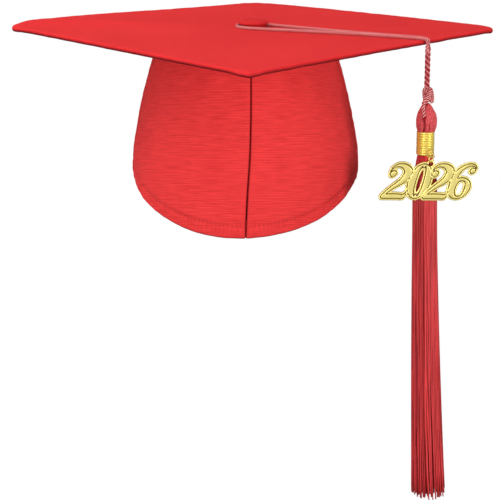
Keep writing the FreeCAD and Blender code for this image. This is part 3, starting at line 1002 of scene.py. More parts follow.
@dataclass
class Crown:
    """The soft head part: three panels, their hem and everything sewn inside."""

    palette: Palette
    board: MortarBoard
    head_ratio: float = 97.0 / 80.0
    aside: float = -5.2 * MM
    levels: tuple[tuple[float, float], ...] = ((-36.0 * MM, 79.0 * MM), (5.0 * MM, 78.6 * MM),
                                               (28.0 * MM, 75.2 * MM), (51.0 * MM, 70.6 * MM),
                                               (73.0 * MM, 64.2 * MM), (89.8 * MM, 58.8 * MM))
    seam_marks: tuple[tuple[float, float], ...] = ((-31.0 * MM, -3.3 * MM), (-17.0 * MM, -2.8 * MM),
                                                   (0.0, -2.0 * MM), (22.0 * MM, -0.6 * MM),
                                                   (50.0 * MM, 0.0), (90.0 * MM, -0.3 * MM))
    hem_marks: tuple[tuple[float, float], ...] = ((-97.0 * MM, -31.0 * MM), (-60.0 * MM, -19.2 * MM),
                                                  (-22.0 * MM, -7.0 * MM), (10.0 * MM, 2.2 * MM),
                                                  (50.0 * MM, 6.0 * MM), (97.0 * MM, 8.0 * MM))
    side_seam_y: float = -20.0 * MM
    elastic_from_y: float = 8.0 * MM
    cloth: float = 1.1 * MM
    stitch_up: float = 8.5 * MM
    casing_up: float = 13.0 * MM
    gather: float = 8.5 * MM
    allowance: tuple[float, float] = (400.0 * MM, 10.0 * MM)

    def half_width(self, height: float) -> float:
        """Return the half width across the ears at a height."""
        return smooth_marks(self.levels, height)

    def hem(self, turn: float) -> float:
        """Return the hem's height at a turn from the front, in radians."""
        return smooth_marks(self.hem_marks, -self.half_width(0.0) * self.head_ratio * math.cos(turn))

    def on_form(self, turn: float, height: float, inset: float = 0.0) -> Vector:
        """Point of the head form.

        Args:
            turn: angle from the front, rising toward the wearer's left (+X).
            height: height in the frame.
            inset: how far inside the crown's outer face.

        Returns:
            The point.
        """
        half = self.half_width(height)
        return Vector((self.aside + (half - inset) * math.sin(turn),
                       -(half * self.head_ratio - inset) * math.cos(turn), height))

    def seam_turn(self, height: float) -> float:
        """Return the angle of the side seam at a height."""
        return math.acos(-self.side_seam_y / (self.half_width(height) * self.head_ratio))

    def front_turn(self, height: float) -> float:
        """Return the angle of the centre seam, which wanders as it goes down, at a height."""
        return math.asin((smooth_marks(self.seam_marks, height) - self.aside) / self.half_width(height))

    def wrinkle(self, turn: float, height: float) -> float:
        """Return the cloth's own unevenness, outward."""
        x, y = math.sin(turn), math.cos(turn)
        broad = 1.6 * MM * bumps(x * 80 * MM, y * 80 * MM, height, 34.0 * MM)
        fine = 0.5 * MM * bumps(x * 80 * MM, y * 80 * MM, height * 2.2, 9.0 * MM)
        return broad + fine

    def gathers(self, girth: float) -> float:
        """Return the uneven wave that the elastic draws cloth into, from -1 to 1, along the hem."""
        return math.sin(FULL_TURN * girth / self.gather + 5.0 * bumps(girth, 0.0, 4.0, 30.0 * MM))

    def hem_ripple(self, girth: float, up: float, back: bool) -> float:
        """Unevenness that the hem's stitching and the back elastic draw into the cloth.

        Args:
            girth: distance round the hem.
            up: distance over the hem.
            back: whether this is the elastic's stretch.

        Returns:
            The outward displacement.
        """
        if back:
            drawn = 1.25 * MM * self.gathers(girth) * math.exp(-((up / (26.0 * MM)) ** 2))
            return drawn - 0.5 * MM * math.exp(-(((up - self.casing_up) / (1.2 * MM)) ** 2))
        pull = math.exp(-(((up - self.stitch_up) / (1.3 * MM)) ** 2))
        ripple = 0.8 * MM * bumps(girth, up * 0.4, 8.0, 5.5 * MM) * math.exp(-((up / (17.0 * MM)) ** 2))
        return ripple - 0.6 * MM * pull

    def seam_pull(self, away: float, height: float) -> float:
        """Return the groove and the small puckers next to a seam, outward."""
        groove = -2.6 * MM * (1.0 - ease(away / (0.95 * MM))) ** 2
        pucker = 0.75 * MM * bumps(0.0, away * 0.35, height + away * 0.5, 5.0 * MM)
        pucker *= math.exp(-away / (14.0 * MM))
        swell = 0.35 * MM * math.exp(-(((away - 3.5 * MM) / (3.0 * MM)) ** 2))
        return groove + pucker + swell

    def panel(self, which: Panel) -> bpy.types.Object:
        """Make one panel of the crown.

        Args:
            which: the panel.

        Returns:
            The panel, fixed to the cap.
        """
        back = which is Panel.BACK
        side = -1.0 if which is Panel.LEFT else 1.0
        columns, rows = (260, 110) if back else (220, 120)
        girth = 0.262 if back else 0.118
        rim = 10.0 * MM
        top = self.board.low + 0.5 * MM

        def gather_columns(t: float) -> float:
            """Share of the girth, closer together next to the seams."""
            return 0.5 - 0.5 * math.copysign(abs(2 * t - 1) ** 0.62, 1 - 2 * t) if 0 < t < 1 else t

        def turn_at(share: float, height: float) -> float:
            """Angle from the front, on the panel's own side, at a share of its girth."""
            edge = self.seam_turn(height)
            start, stop = (edge, 2 * math.pi - edge) if back else (side * self.front_turn(height), edge)
            return start + (stop - start) * share

        def bow(share: float) -> float:
            """Rise of the cloth's grain away from the centre seam."""
            return 0.0 if back else 3.0 * MM * (share * girth / (48.0 * MM)) ** 2

        def cut(p: Vector) -> Vector:
            """Point of the flat panel, cut to its hem."""
            share = gather_columns(p.x + 0.5)
            low = self.hem(turn_at(share, 0.5 * top))
            return Vector((share * girth, low + (top - low) * (p.y + 0.5) + bow(share), 0.0))

        def spot_of(flat: Vector) -> tuple[float, float, float]:
            """Share of the girth, hem's height and height of a point of the flat panel."""
            share = flat.x / girth
            return share, self.hem(turn_at(share, 0.5 * top)), flat.y - bow(share)

        def sunk(flat: Vector) -> float:
            """How much painted shade a point gets in a seam, along the stitching, in the puckers over the hem
            and at the hem's edge.
            """
            share, low, height = spot_of(flat)
            up, along = (height - low) / MM, share * girth / MM
            seam = math.exp(-((min(along, girth / MM - along) / 0.75) ** 2))
            row = math.exp(-(((up - self.stitch_up / MM) / 0.6) ** 2)) * (0.15 + 0.15 * math.sin(2.1 * along))
            ticks = math.sin(2 * math.pi * along / 3.0 + 9.0 * bumps(flat.x, height, 1.0, 7.0 * MM))
            drawn = 0.12 * (0.5 + 0.5 * ticks) * math.exp(-(((up - 6.0) / 4.5) ** 2))
            return min(seam + row + drawn + 0.5 * (1.0 - ease(up / 1.1)), 1.0)

        bm = bmesh.new()
        bmesh.ops.create_grid(bm, x_segments=columns, y_segments=rows, size=0.5)
        move(bm, cut)
        write_cloth_map(bm)
        write_painted_shade(bm, sunk)

        def place(flat: Vector) -> Vector:
            share, low, height = spot_of(flat)
            climb = (height - low) / (top - low)
            turn = turn_at(share, height)
            wander = 0.5 * MM * bumps(0.0, 0.0, height, 22.0 * MM) / self.half_width(height)
            near_start = (1.0 - share) ** 6 if not back else 0.0
            first, up = share * girth, height - low
            away = min(first, (1.0 - share) * girth)
            out = self.wrinkle(side * turn, height) * ease(away / rim) * ease((top - height) / rim)
            out += self.seam_pull(away, height)
            gathered = back and self.on_form(turn, low).y > self.elastic_from_y
            out += self.hem_ripple(first, up, gathered) * ease(away / (4.0 * MM))
            out -= 0.9 * MM * (1.0 - ease(up / (1.2 * MM)))
            out += self.sag(side * turn, height, top)
            spot = self.on_form(side * turn + near_start * wander, height, -out)
            spot.z += self.board.warp(spot.x, spot.y) * climb
            return spot

        move(bm, place)
        if which is Panel.LEFT:
            bmesh.ops.reverse_faces(bm, faces=bm.faces[:])
        made = make_object(which.value + "_cloth", bm, self.palette.crown, Slot.CROWN)
        piece = ride_cap(made, which.value)
        thicken(piece, self.cloth)
        return piece

    def sag(self, turn: float, height: float, top: float) -> float:
        """Return the soft hollow under the board, between the points where the crown is sewn on."""
        hollow = math.exp(-(((top - height - 7.0 * MM) / (6.0 * MM)) ** 2))
        return -0.35 * MM * hollow * (1 + math.sin(7 * turn))

    def strip(self, name: str, node: str, inset: float, thickness: float, span: tuple[float, float],
              edges: tuple[Callable[[float], float], Callable[[float], float]],
              material: bpy.types.Material, slot: Slot, cells: tuple[int, int],
              ripple: float = 0.0) -> bpy.types.Object:
        """Make a band of cloth that lies on the crown's inner face.

        Args:
            name: the piece's name.
            node: the CAD node that it stands for.
            inset: its outer face, inside the crown's outer face.
            thickness: its thickness.
            span: first and last angle from the front.
            edges: lower and upper edge's height at an angle.
            material: its finish.
            slot: the record's slot.
            cells: grid cells along and up.
            ripple: height of its gathers.

        Returns:
            The strip, fixed to the cap.
        """
        mean = 0.5 * (1.0 + self.head_ratio) * self.half_width(0.0)
        along = (span[1] - span[0]) * mean
        rise = edges[1](span[0]) - edges[0](span[0])
        bm = bmesh.new()
        bmesh.ops.create_grid(bm, x_segments=cells[0], y_segments=cells[1], size=0.5)
        move(bm, lambda p: Vector(((p.x + 0.5) * along, (p.y + 0.5) * rise, 0.0)))
        write_cloth_map(bm)

        def place(flat: Vector) -> Vector:
            turn = span[0] + (span[1] - span[0]) * flat.x / along
            low, high = edges[0](turn), edges[1](turn)
            share = flat.y / rise
            height = low + (high - low) * share
            wave = ripple * self.gathers(flat.x)
            uneven = 0.25 * MM * bumps(flat.x, flat.y, 2.0, 8.0 * MM)
            rolled = 0.5 * thickness * (ease(1 - share * 8) + ease(1 - (1 - share) * 8))
            return self.on_form(turn, height, inset + max(uneven, -0.1 * MM) - wave - rolled * 0.4)

        move(bm, place)
        piece = ride_cap(make_object(name, bm, material, slot), node)
        thicken(piece, thickness)
        return piece

    def linings(self) -> None:
        """Make everything that is sewn inside the crown."""
        p, half_pi = self.palette, math.pi / 2
        inner = self.cloth + 0.5 * MM
        side = self.seam_turn(0.0)

        def over_hem(up: float) -> Callable[[float], float]:
            """Height over the hem, at each turn."""
            return lambda turn: self.hem(turn) + up

        facing = self.strip("turned_hem", "hem_facing", inner, 0.5 * MM, (-side, side),
                            (over_hem(0.4 * MM), over_hem(12.0 * MM)), p.crown, Slot.CROWN, (220, 14))
        wide = half_pi + 0.06
        sweat = self.strip("sweatband_cloth", "sweatband", inner + 0.8 * MM, 1.1 * MM, (-wide, wide),
                           (over_hem(2.0 * MM), over_hem(27.0 * MM)), p.sweat, Slot.SWEAT, (260, 28))
        tape_half, middle = 7.5 * MM / self.half_width(0.0), self.front_turn(50.0 * MM)
        tape = self.strip("centre_seam_tape", "seam_tape", inner + 0.1 * MM, 0.5 * MM,
                          (middle - tape_half, middle + tape_half),
                          (over_hem(27.6 * MM), lambda turn: self.board.low - 1.4 * MM),
                          p.tape, Slot.TAPE, (16, 90))
        first, last = half_pi + 0.09, 3 * half_pi - 0.09
        casing = self.strip("elastic_casing_cloth", "elastic_casing", inner + 1.3 * MM, 0.5 * MM,
                            (first, last), (over_hem(0.4 * MM), over_hem(self.casing_up)),
                            p.crown, Slot.CROWN, (330, 16), 0.9 * MM)
        web = self.strip("elastic_web", "back_elastic", inner + 0.25 * MM, 0.8 * MM,
                         (first + 0.02, last - 0.02), (over_hem(1.5 * MM), over_hem(10.5 * MM)),
                         p.elastic, Slot.ELASTIC, (200, 8), 0.3 * MM)
        label_half = 17.0 * MM / self.half_width(39.0 * MM)
        label = self.strip("woven_label", "inside_label", inner + 0.2 * MM, 0.4 * MM,
                           (math.pi - label_half, math.pi + label_half),
                           (lambda turn: 30.0 * MM, lambda turn: 48.0 * MM), p.label, Slot.LABEL, (34, 20))

    def flange(self) -> bpy.types.Object:
        """Make the crown's allowance that is turned in flat under the board.

        Returns:
            The ring, fixed to the cap.
        """
        girth, width = self.allowance
        bm = bmesh.new()
        bmesh.ops.create_grid(bm, x_segments=180, y_segments=8, size=0.5)
        move(bm, lambda p: Vector(((p.x + 0.5) * girth, (p.y + 0.5) * width, 0.0)))
        write_cloth_map(bm)
        height = self.board.low - 0.7 * MM

        def place(flat: Vector) -> Vector:
            turn = FULL_TURN * flat.x / girth
            spot = self.on_form(turn, self.board.low, self.cloth + 0.4 * MM + flat.y)
            uneven = abs(0.35 * MM * bumps(spot.x, spot.y, 6.0, 6.0 * MM))
            spot.z = height + self.board.warp(spot.x, spot.y) - uneven
            return spot

        move(bm, place)
        bmesh.ops.remove_doubles(bm, verts=bm.verts[:], dist=MERGE)
        turn_outward(bm)
        piece = ride_cap(make_object("crown_allowance", bm, self.palette.crown, Slot.CROWN), "crown_flange")
        thicken(piece, 0.5 * MM, 0.0)
        return piece

    def stitches(self) -> bpy.types.Object:
        """Make the line of stitches that holds the hem up in front and closes the casing behind.

        Returns:
            All stitches as one piece, fixed to the cap.
        """
        bm = bmesh.new()
        pitch, long, thick = 3.0 * MM, 2.2 * MM, 0.42 * MM
        mean = 0.5 * (1.0 + self.head_ratio) * self.half_width(0.0)
        count = int(2 * math.pi * mean / pitch)
        for k in range(count):
            turn = FULL_TURN * k / count
            back = self.on_form(turn, 0.0).y > self.elastic_from_y
            up = self.casing_up if back else self.stitch_up
            spot, ahead = (self.on_form(t, self.hem(t) + up, 0.25 * MM) for t in (turn, turn + 0.01))
            heading = (ahead - spot).normalized()
            outward = Vector((spot.x, spot.y, 0.0)).normalized()
            frame = Matrix((heading, outward, heading.cross(outward))).transposed().to_4x4()
            sized = Matrix.Diagonal((long / 2, thick / 2, thick / 2, 1.0))
            place = Matrix.Translation(spot) @ frame @ sized
            bmesh.ops.create_icosphere(bm, subdivisions=1, radius=1.0, matrix=place)
        return ride_cap(make_object("hem_stitches", bm, self.palette.stitch, Slot.CROWN))

    def build(self) -> None:
        """Make the panels, the linings, the allowance and the stitches."""
        for which in Panel:
            self.panel(which)
        self.linings()
        self.flange()
        self.stitches()


# ---- button --------------------------------------------------------------------------------------
@dataclass
class Button:
    """The cloth-covered button over the board's centre."""

    palette: Palette
    gathers: int = 22
    rings: int = 26
    rim_up: float = 0.9 * MM
    tucked: tuple[tuple[float, float], ...] = ((0.15, 0.45), (0.8, 0.0), (1.4, -0.9), (1.7, -2.4))

    def build(self) -> bpy.types.Object:
        """Make the cover: a shallow dome whose cloth is gathered under the rim.

        Returns:
            The cover, fixed to the cap.
        """
        low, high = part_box("button_cover")
        rim, rise = high.x, high.z - low.z
        path = []
        for k in range(self.rings + 1):
            turn = 0.5 * math.pi * k / self.rings
            height = low.z + self.rim_up + (rise - self.rim_up) * math.cos(turn)
            path.append((rim * math.sin(turn) ** 0.92, height))
        path += [(rim - inward * MM, low.z + up * MM) for inward, up in self.tucked]
        bm = lathe(path, 132)
        turn_outward(bm)
        write_cloth_map(bm)

        def gather(p: Vector) -> Vector:
            away = math.hypot(p.x, p.y) / rim
            turn = math.atan2(p.y, p.x)
            fold = math.sin(self.gathers * turn + 2.0 * math.sin(3 * turn))
            pull = 0.16 * MM * fold * ease((away - 0.62) / 0.38)
            sunk = -0.25 * MM * bumps(p.x, p.y, 4.0, 6.0 * MM)
            return Vector((p.x * (1 + pull / rim), p.y * (1 + pull / rim), p.z + sunk + pull * 0.5))

        move(bm, gather)
        piece = ride_cap(make_object("button_cloth", bm, self.palette.button, Slot.BOARD), "button_cover")
        thicken(piece, 0.35 * MM)
        return piece


# ---- cord ----------------------------------------------------------------------------------------
@dataclass
class Cord:
    """The cord: looped round the button, laid over the edge, and twisted where it hangs."""

    palette: Palette
    board: MortarBoard
    strand_r: float = 1.12 * MM
    declared_r: float = 1.05 * MM
    lay: float = 6.6 * MM
    step: float = 0.5 * MM
    parting: float = 5.0 * MM
    pivot_z: float = 89.7 * MM
    overlap: float = 4.4 * MM
    twisted_r: float = 1.0 * MM
    twist_lay: float = 10.4 * MM
    axis: Vector = field(init=False)
    along: Vector = field(init=False)
    across: Vector = field(init=False)

    def __post_init__(self) -> None:
        """Take the hanging line from the frame."""
        low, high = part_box("tassel_band")
        self.axis = Vector(((low.x + high.x) / 2, (low.y + high.y) / 2, 0.0))
        self.along = self.axis.normalized()
        self.across = Vector((0, 0, 1)).cross(self.along)

    def route(self) -> list[Vector]:
        """Return the control points, from the end under the edge, round the button and back."""
        reach = self.axis.length / MM
        leg = [(reach, -1.1, 84.7), (reach, -1.1, 88.0), (reach, -1.1, 91.1), (reach, -1.1, 94.3),
               (109.0, -1.25, 94.3), (83.0, -2.1, 94.3), (44.0, -5.6, 94.3), (16.0, -9.6, 94.3)]
        turn = [(4.6, -11.3, 94.3), (-4.4, -10.7, 94.3), (-10.3, -5.6, 94.3), (-11.6, 0.0, 94.3)]
        points = leg + turn + [(a, -b, c) for a, b, c in (leg + turn)[-2::-1]]
        return [(self.along * a + self.across * b + Vector((0, 0, c))) * MM for a, b, c in points]

    def lifted(self, point: Vector) -> Vector:
        """Return the point raised as the board's curl raises the cord that lies on it."""
        share = ease((point.z - (self.pivot_z - self.parting)) / self.parting)
        return point + Vector((0, 0, self.board.warp(point.x, point.y) * share))

    def build(self, hung: Sequence[bpy.types.Object]) -> bpy.types.Object:
        """Make the cord down to where it parts from the edge, and the twisted length below.

        Args:
            hung: the knot and the tassel's pieces that hang on it; not used.

        Returns:
            The cord on the board.
        """
        line = [self.lifted(p) for p in nurbs_line(self.route(), self.step)]
        bm = bmesh.new()
        rope(bm, line, self.strand_r, self.lay)
        piece = make_object("cord_on_board", bm, self.palette.cord, Slot.CORD)
        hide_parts("cord_loop", "cord_bend")
        start = self.axis + Vector((0, 0, self.pivot_z))
        end = start - Vector((0, 0, self.parting))
        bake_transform(piece)
        drop = self.twisted_drop(end)
        tuple(line[0])
        length_of(line)
        [tuple(p) for p in line]
        return piece

    def twisted_drop(self, top: Vector) -> bpy.types.Object:
        """Make the length that hangs from the edge to the knot, its strands twisted together.

        Args:
            top: where it begins, on the hanging line.

        Returns:
            The twisted length.
        """
        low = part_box("cord_knot")[1].z - 1.5 * MM
        height = top.z + self.overlap - low
        count = int(height / (0.35 * MM))
        centre = [top + Vector((0, 0, self.overlap - height * k / count)) for k in range(count + 1)]
        bm = bmesh.new()
        toward = math.atan2(self.across.y, self.across.x)

        def on_ridge(i: int, point: Vector) -> float:
            """Return the painted highlight: 1 on the rope's outer ridges, falling to 0, painted shade, in the
            grooves between its strands.
            """
            return ease(((point - centre[i]).length / MM - 1.74) / 0.18)

        for strand in range(3):
            line = []
            for k, point in enumerate(centre):
                down = height * k / count
                turn = toward + FULL_TURN * (strand / 3 + down / self.twist_lay)
                apart = (1.10 - 0.15 * ease(down / (3.0 * MM))) * MM
                line.append(point + Vector((math.cos(turn), math.sin(turn), 0)) * apart)
            rope(bm, line, self.twisted_r, 3.4 * MM, sides=10, plain=0.6,
                 taper=lambda share: 0.5 + 0.5 * ease(share / 0.03), outer=on_ridge)
        piece = make_object("cord_twist", bm, self.palette.cord, Slot.CORD)
        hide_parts("cord_drop")
        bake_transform(piece)
        return piece


# ---- tassel --------------------------------------------------------------------------------------
@dataclass
class Tassel:
    """Knot, head, binding and skirt of threads."""

    palette: Palette
    axis: Vector
    thread_r: float = 0.46 * MM
    drift: float = 8.7 * MM
    hang: float = 226.0 * MM
    seed: int = 26

    def ride(self, piece: bpy.types.Object, *nodes: str) -> bpy.types.Object:
        """Fix a piece to the tassel in the place of some CAD nodes."""
        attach(piece, Body.TASSEL.value)
        if nodes:
            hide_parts(*nodes)
        return piece

    def at(self, x: float, y: float, z: float) -> Vector:
        """Return a point given from the tassel's axis."""
        return Vector((self.axis.x + x, self.axis.y + y, z))

    def knot(self) -> bpy.types.Object:
        """Make the knot: the rope's own strand passed round itself.

        Returns:
            The knot, fixed to the tassel.
        """
        low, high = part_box("cord_knot")
        middle, rise = (low.z + high.z) / 2, (high.z - low.z) / 2 - 0.6 * MM
        bm = bmesh.new()
        loops = []
        for k in range(181):
            t = FULL_TURN * k / 180
            x = (math.sin(t) + 2 * math.sin(2 * t)) * 1.05 * MM + 1.1 * MM
            y = (math.cos(t) - 2 * math.cos(2 * t)) * 0.92 * MM
            loops.append(self.at(x, y, middle - math.sin(3 * t) * rise * 0.92))
        rope(bm, even(loops, 0.4 * MM), 1.25 * MM, 4.6 * MM, sides=14)
        core = [self.at(0, 0, high.z + 0.5 * MM - k * 0.5 * MM) for k in range(24)]
        rope(bm, core, 1.5 * MM, 9.0 * MM, sides=12)
        return self.ride(make_object("knot_of_cord", bm, self.palette.cord, Slot.CORD), "cord_knot")

    def tail(self) -> bpy.types.Object:
        """Make the cord's own end, which lies on the head's front.

        Returns:
            The end, fixed to the tassel.
        """
        points = [self.at(-0.6 * MM, -2.0 * MM, 56.5 * MM), self.at(-1.6 * MM, -3.4 * MM, 54.0 * MM),
                  self.at(-2.6 * MM, -4.1 * MM, 51.0 * MM), self.at(-2.4 * MM, -5.3 * MM, 47.6 * MM),
                  self.at(-1.9 * MM, -6.4 * MM, 44.4 * MM), self.at(-1.7 * MM, -6.9 * MM, 42.0 * MM)]
        bm = bmesh.new()
        rope(bm, nurbs_line(points, 0.4 * MM), 1.3 * MM, 6.0 * MM, sides=14,
             taper=lambda share: 1.0 - 0.5 * ease((share - 0.88) / 0.12))
        return self.ride(make_object("cord_end", bm, self.palette.cord, Slot.CORD))

    def head(self) -> bpy.types.Object:
        """Make the rounded head: threads folded over and bound below.

        Returns:
            The head, fixed to the tassel.
        """
        low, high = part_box("tassel_head")
        rim = (high.x - low.x) / 2
        rise = high.z - low.z
        section = ((0.0, 0.84), (0.16, 0.955), (0.40, 1.0), (0.64, 0.86), (0.84, 0.56), (0.95, 0.36),
                   (1.0, 0.22))
        rows = 44
        bm = lathe([(rim * smooth_marks(section, k / rows), low.z + rise * k / rows)
                    for k in range(rows + 1)], 240)
        close_ends(bm)
        turn_outward(bm)

        def thread_over(p: Vector) -> tuple[Vector, float]:
            """Return where a point of the plain head goes under its threads, and its painted light: highlight
            along the threads, shade in the creases.
            """
            away, turn = math.hypot(p.x, p.y), math.atan2(p.y, p.x)
            up = (p.z - low.z) / rise
            lean = turn + 0.35 * up + 0.35 * bumps(p.x, p.y, p.z, 6.0 * MM)
            thread = abs(math.sin(19 * lean))
            twist = 0.5 + 0.5 * math.sin(p.z / MM * 7.0 + 40 * lean)
            crease_at = -1.92 + 0.10 * math.sin(6 * up)
            crease = math.exp(-(((turn - crease_at) / 0.13) ** 2)) * ease((0.72 - up) / 0.2)
            second = math.exp(-(((turn + 1.28) / 0.07) ** 2)) * ease((0.42 - up) / 0.15)
            lump = 0.55 * bumps(p.x, p.y, p.z, 5.0 * MM)
            size = away + (0.28 * thread + 0.16 * twist - 1.5 * crease - 0.6 * second + lump) * MM
            size *= 1.0 + 0.05 * math.cos(turn)
            # Painted light: a painted highlight along the threads, painted shade in the creases.
            raised = (0.30 + 0.70 * thread * (0.35 + 0.65 * twist)) * (1 - 0.95 * crease) * (1 - 0.7 * second)
            return self.at(size * math.cos(turn), size * math.sin(turn), p.z), raised

        ridge = bm.verts.layers.float.new("ridge")
        for vert in bm.verts:
            vert.co, vert[ridge] = thread_over(vert.co)
        made = make_object("tassel_head_threads", bm, self.palette.head, Slot.THREAD)
        return self.ride(made, "tassel_head")

    def skirt(self) -> bpy.types.Object:
        """Make the hanging threads, in layers round a dark core.

        Returns:
            The threads, fixed to the tassel.
        """
        rng = random.Random(self.seed)
        low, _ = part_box("tassel_skirt")
        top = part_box("tassel_band")[0].z + 3.0 * MM
        profile = ((low.z, 12.3 * MM), (-190.0 * MM, 11.5 * MM), (-120.0 * MM, 10.2 * MM),
                   (-40.0 * MM, 8.9 * MM), (4.0 * MM, 8.3 * MM), (13.5 * MM, 6.7 * MM), (top, 4.7 * MM))
        rows, bundles = 15, 15
        bm = bmesh.new()
        for share, count in ((1.0, 70), (0.94, 66), (0.87, 62), (0.78, 54), (0.68, 44)):
            bundle = [rng.uniform(-1.0, 1.0) for _ in range(bundles)]
            depths = [rng.uniform(0.0, 1.0) for _ in range(bundles)]
            for k in range(count):
                turn = FULL_TURN * (k + rng.uniform(-0.25, 0.25)) / count
                bundled = bundle[int(bundles * k / count)] * 0.05
                end = low.z + rng.uniform(0.0, 7.0 * MM) + (1 - share) * 6.0 * MM
                phase, sway = rng.uniform(0, 6.28), rng.uniform(0.4, 1.5)
                sunk = depths[int(bundles * k / count)]
                depth = (rng.uniform(-0.4, 0.25) - 0.7 * sunk) * MM
                path = []
                for i in range(rows + 1):
                    z = top + (end - top) * (i / rows) ** 0.9
                    fall = (top - z) / (top - low.z)
                    wave = sway * 0.035 * math.sin(phase + 9.0 * fall) + 0.05 * fall * math.sin(phase * 3)
                    size = smooth_marks(profile, z) * share + depth * ease(fall * 9) - self.thread_r
                    angle = turn + wave + bundled * math.sin(5.0 * fall + 2.0)
                    aside = self.drift * fall ** 1.4
                    path.append(self.at(size * math.cos(angle) + aside, size * math.sin(angle), z))
                # Painted shade: inner layers and sunk bundles are darker, with random tone from thread to
                # thread.
                tone = 0.3 + 0.8 * share ** 4 * rng.uniform(0.6, 1.0) * (1.0 - 0.45 * sunk)
                sweep(bm, path, lambda s: self.thread_r * (1.0 + 0.12 * s), 4,
                      lambda i, point: tone * self.painted_side_light(point, path[i]))
        return self.ride(make_object("skirt_threads", bm, self.palette.thread, Slot.THREAD), "tassel_skirt")

    def painted_side_light(self, point: Vector, centre: Vector) -> float:
        """Return 1 on a thread's outward side and 0 where it faces its neighbours or the core: painted
        highlight outside, painted shade inside.
        """
        middle = self.at(self.drift * max(-centre.z, 0.0) / self.hang, 0.0, centre.z)
        return 0.45 + 0.55 * (point - centre).normalized().dot((centre - middle).normalized())

    def core(self) -> bpy.types.Object:
        """Make the shadowed inside of the skirt.

        Returns:
            The core, fixed to the tassel.
        """
        low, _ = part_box("tassel_skirt")
        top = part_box("tassel_band")[1].z - 1.0 * MM
        foot, rows = low.z + 12.0 * MM, 40
        section = ((foot, 6.2 * MM), (-100.0 * MM, 5.4 * MM), (0.0, 5.0 * MM), (12.0 * MM, 4.3 * MM),
                   (top, 4.3 * MM))
        heights = [foot + (top - foot) * k / rows for k in range(rows + 1)]
        bm = lathe([(smooth_marks(section, z), z) for z in heights], 90)
        close_ends(bm)
        turn_outward(bm)

        def flute(p: Vector) -> Vector:
            turn = math.atan2(p.y, p.x)
            size = math.hypot(p.x, p.y) * (1 + 0.07 * math.sin(22 * turn))
            aside = self.drift * (max(-p.z, 0.0) / self.hang) ** 1.4
            return self.at(size * math.cos(turn) + aside, size * math.sin(turn), p.z)

        move(bm, flute)
        return self.ride(make_object("skirt_core", bm, self.palette.core, Slot.THREAD))

    def build(self) -> list[bpy.types.Object]:
        """Make every soft piece of the tassel.

        Returns:
            The knot, the cord's end and the head.
        """
        knot, tail, head = self.knot(), self.tail(), self.head()
        self.skirt()
        self.core()
        return [knot, tail, head]


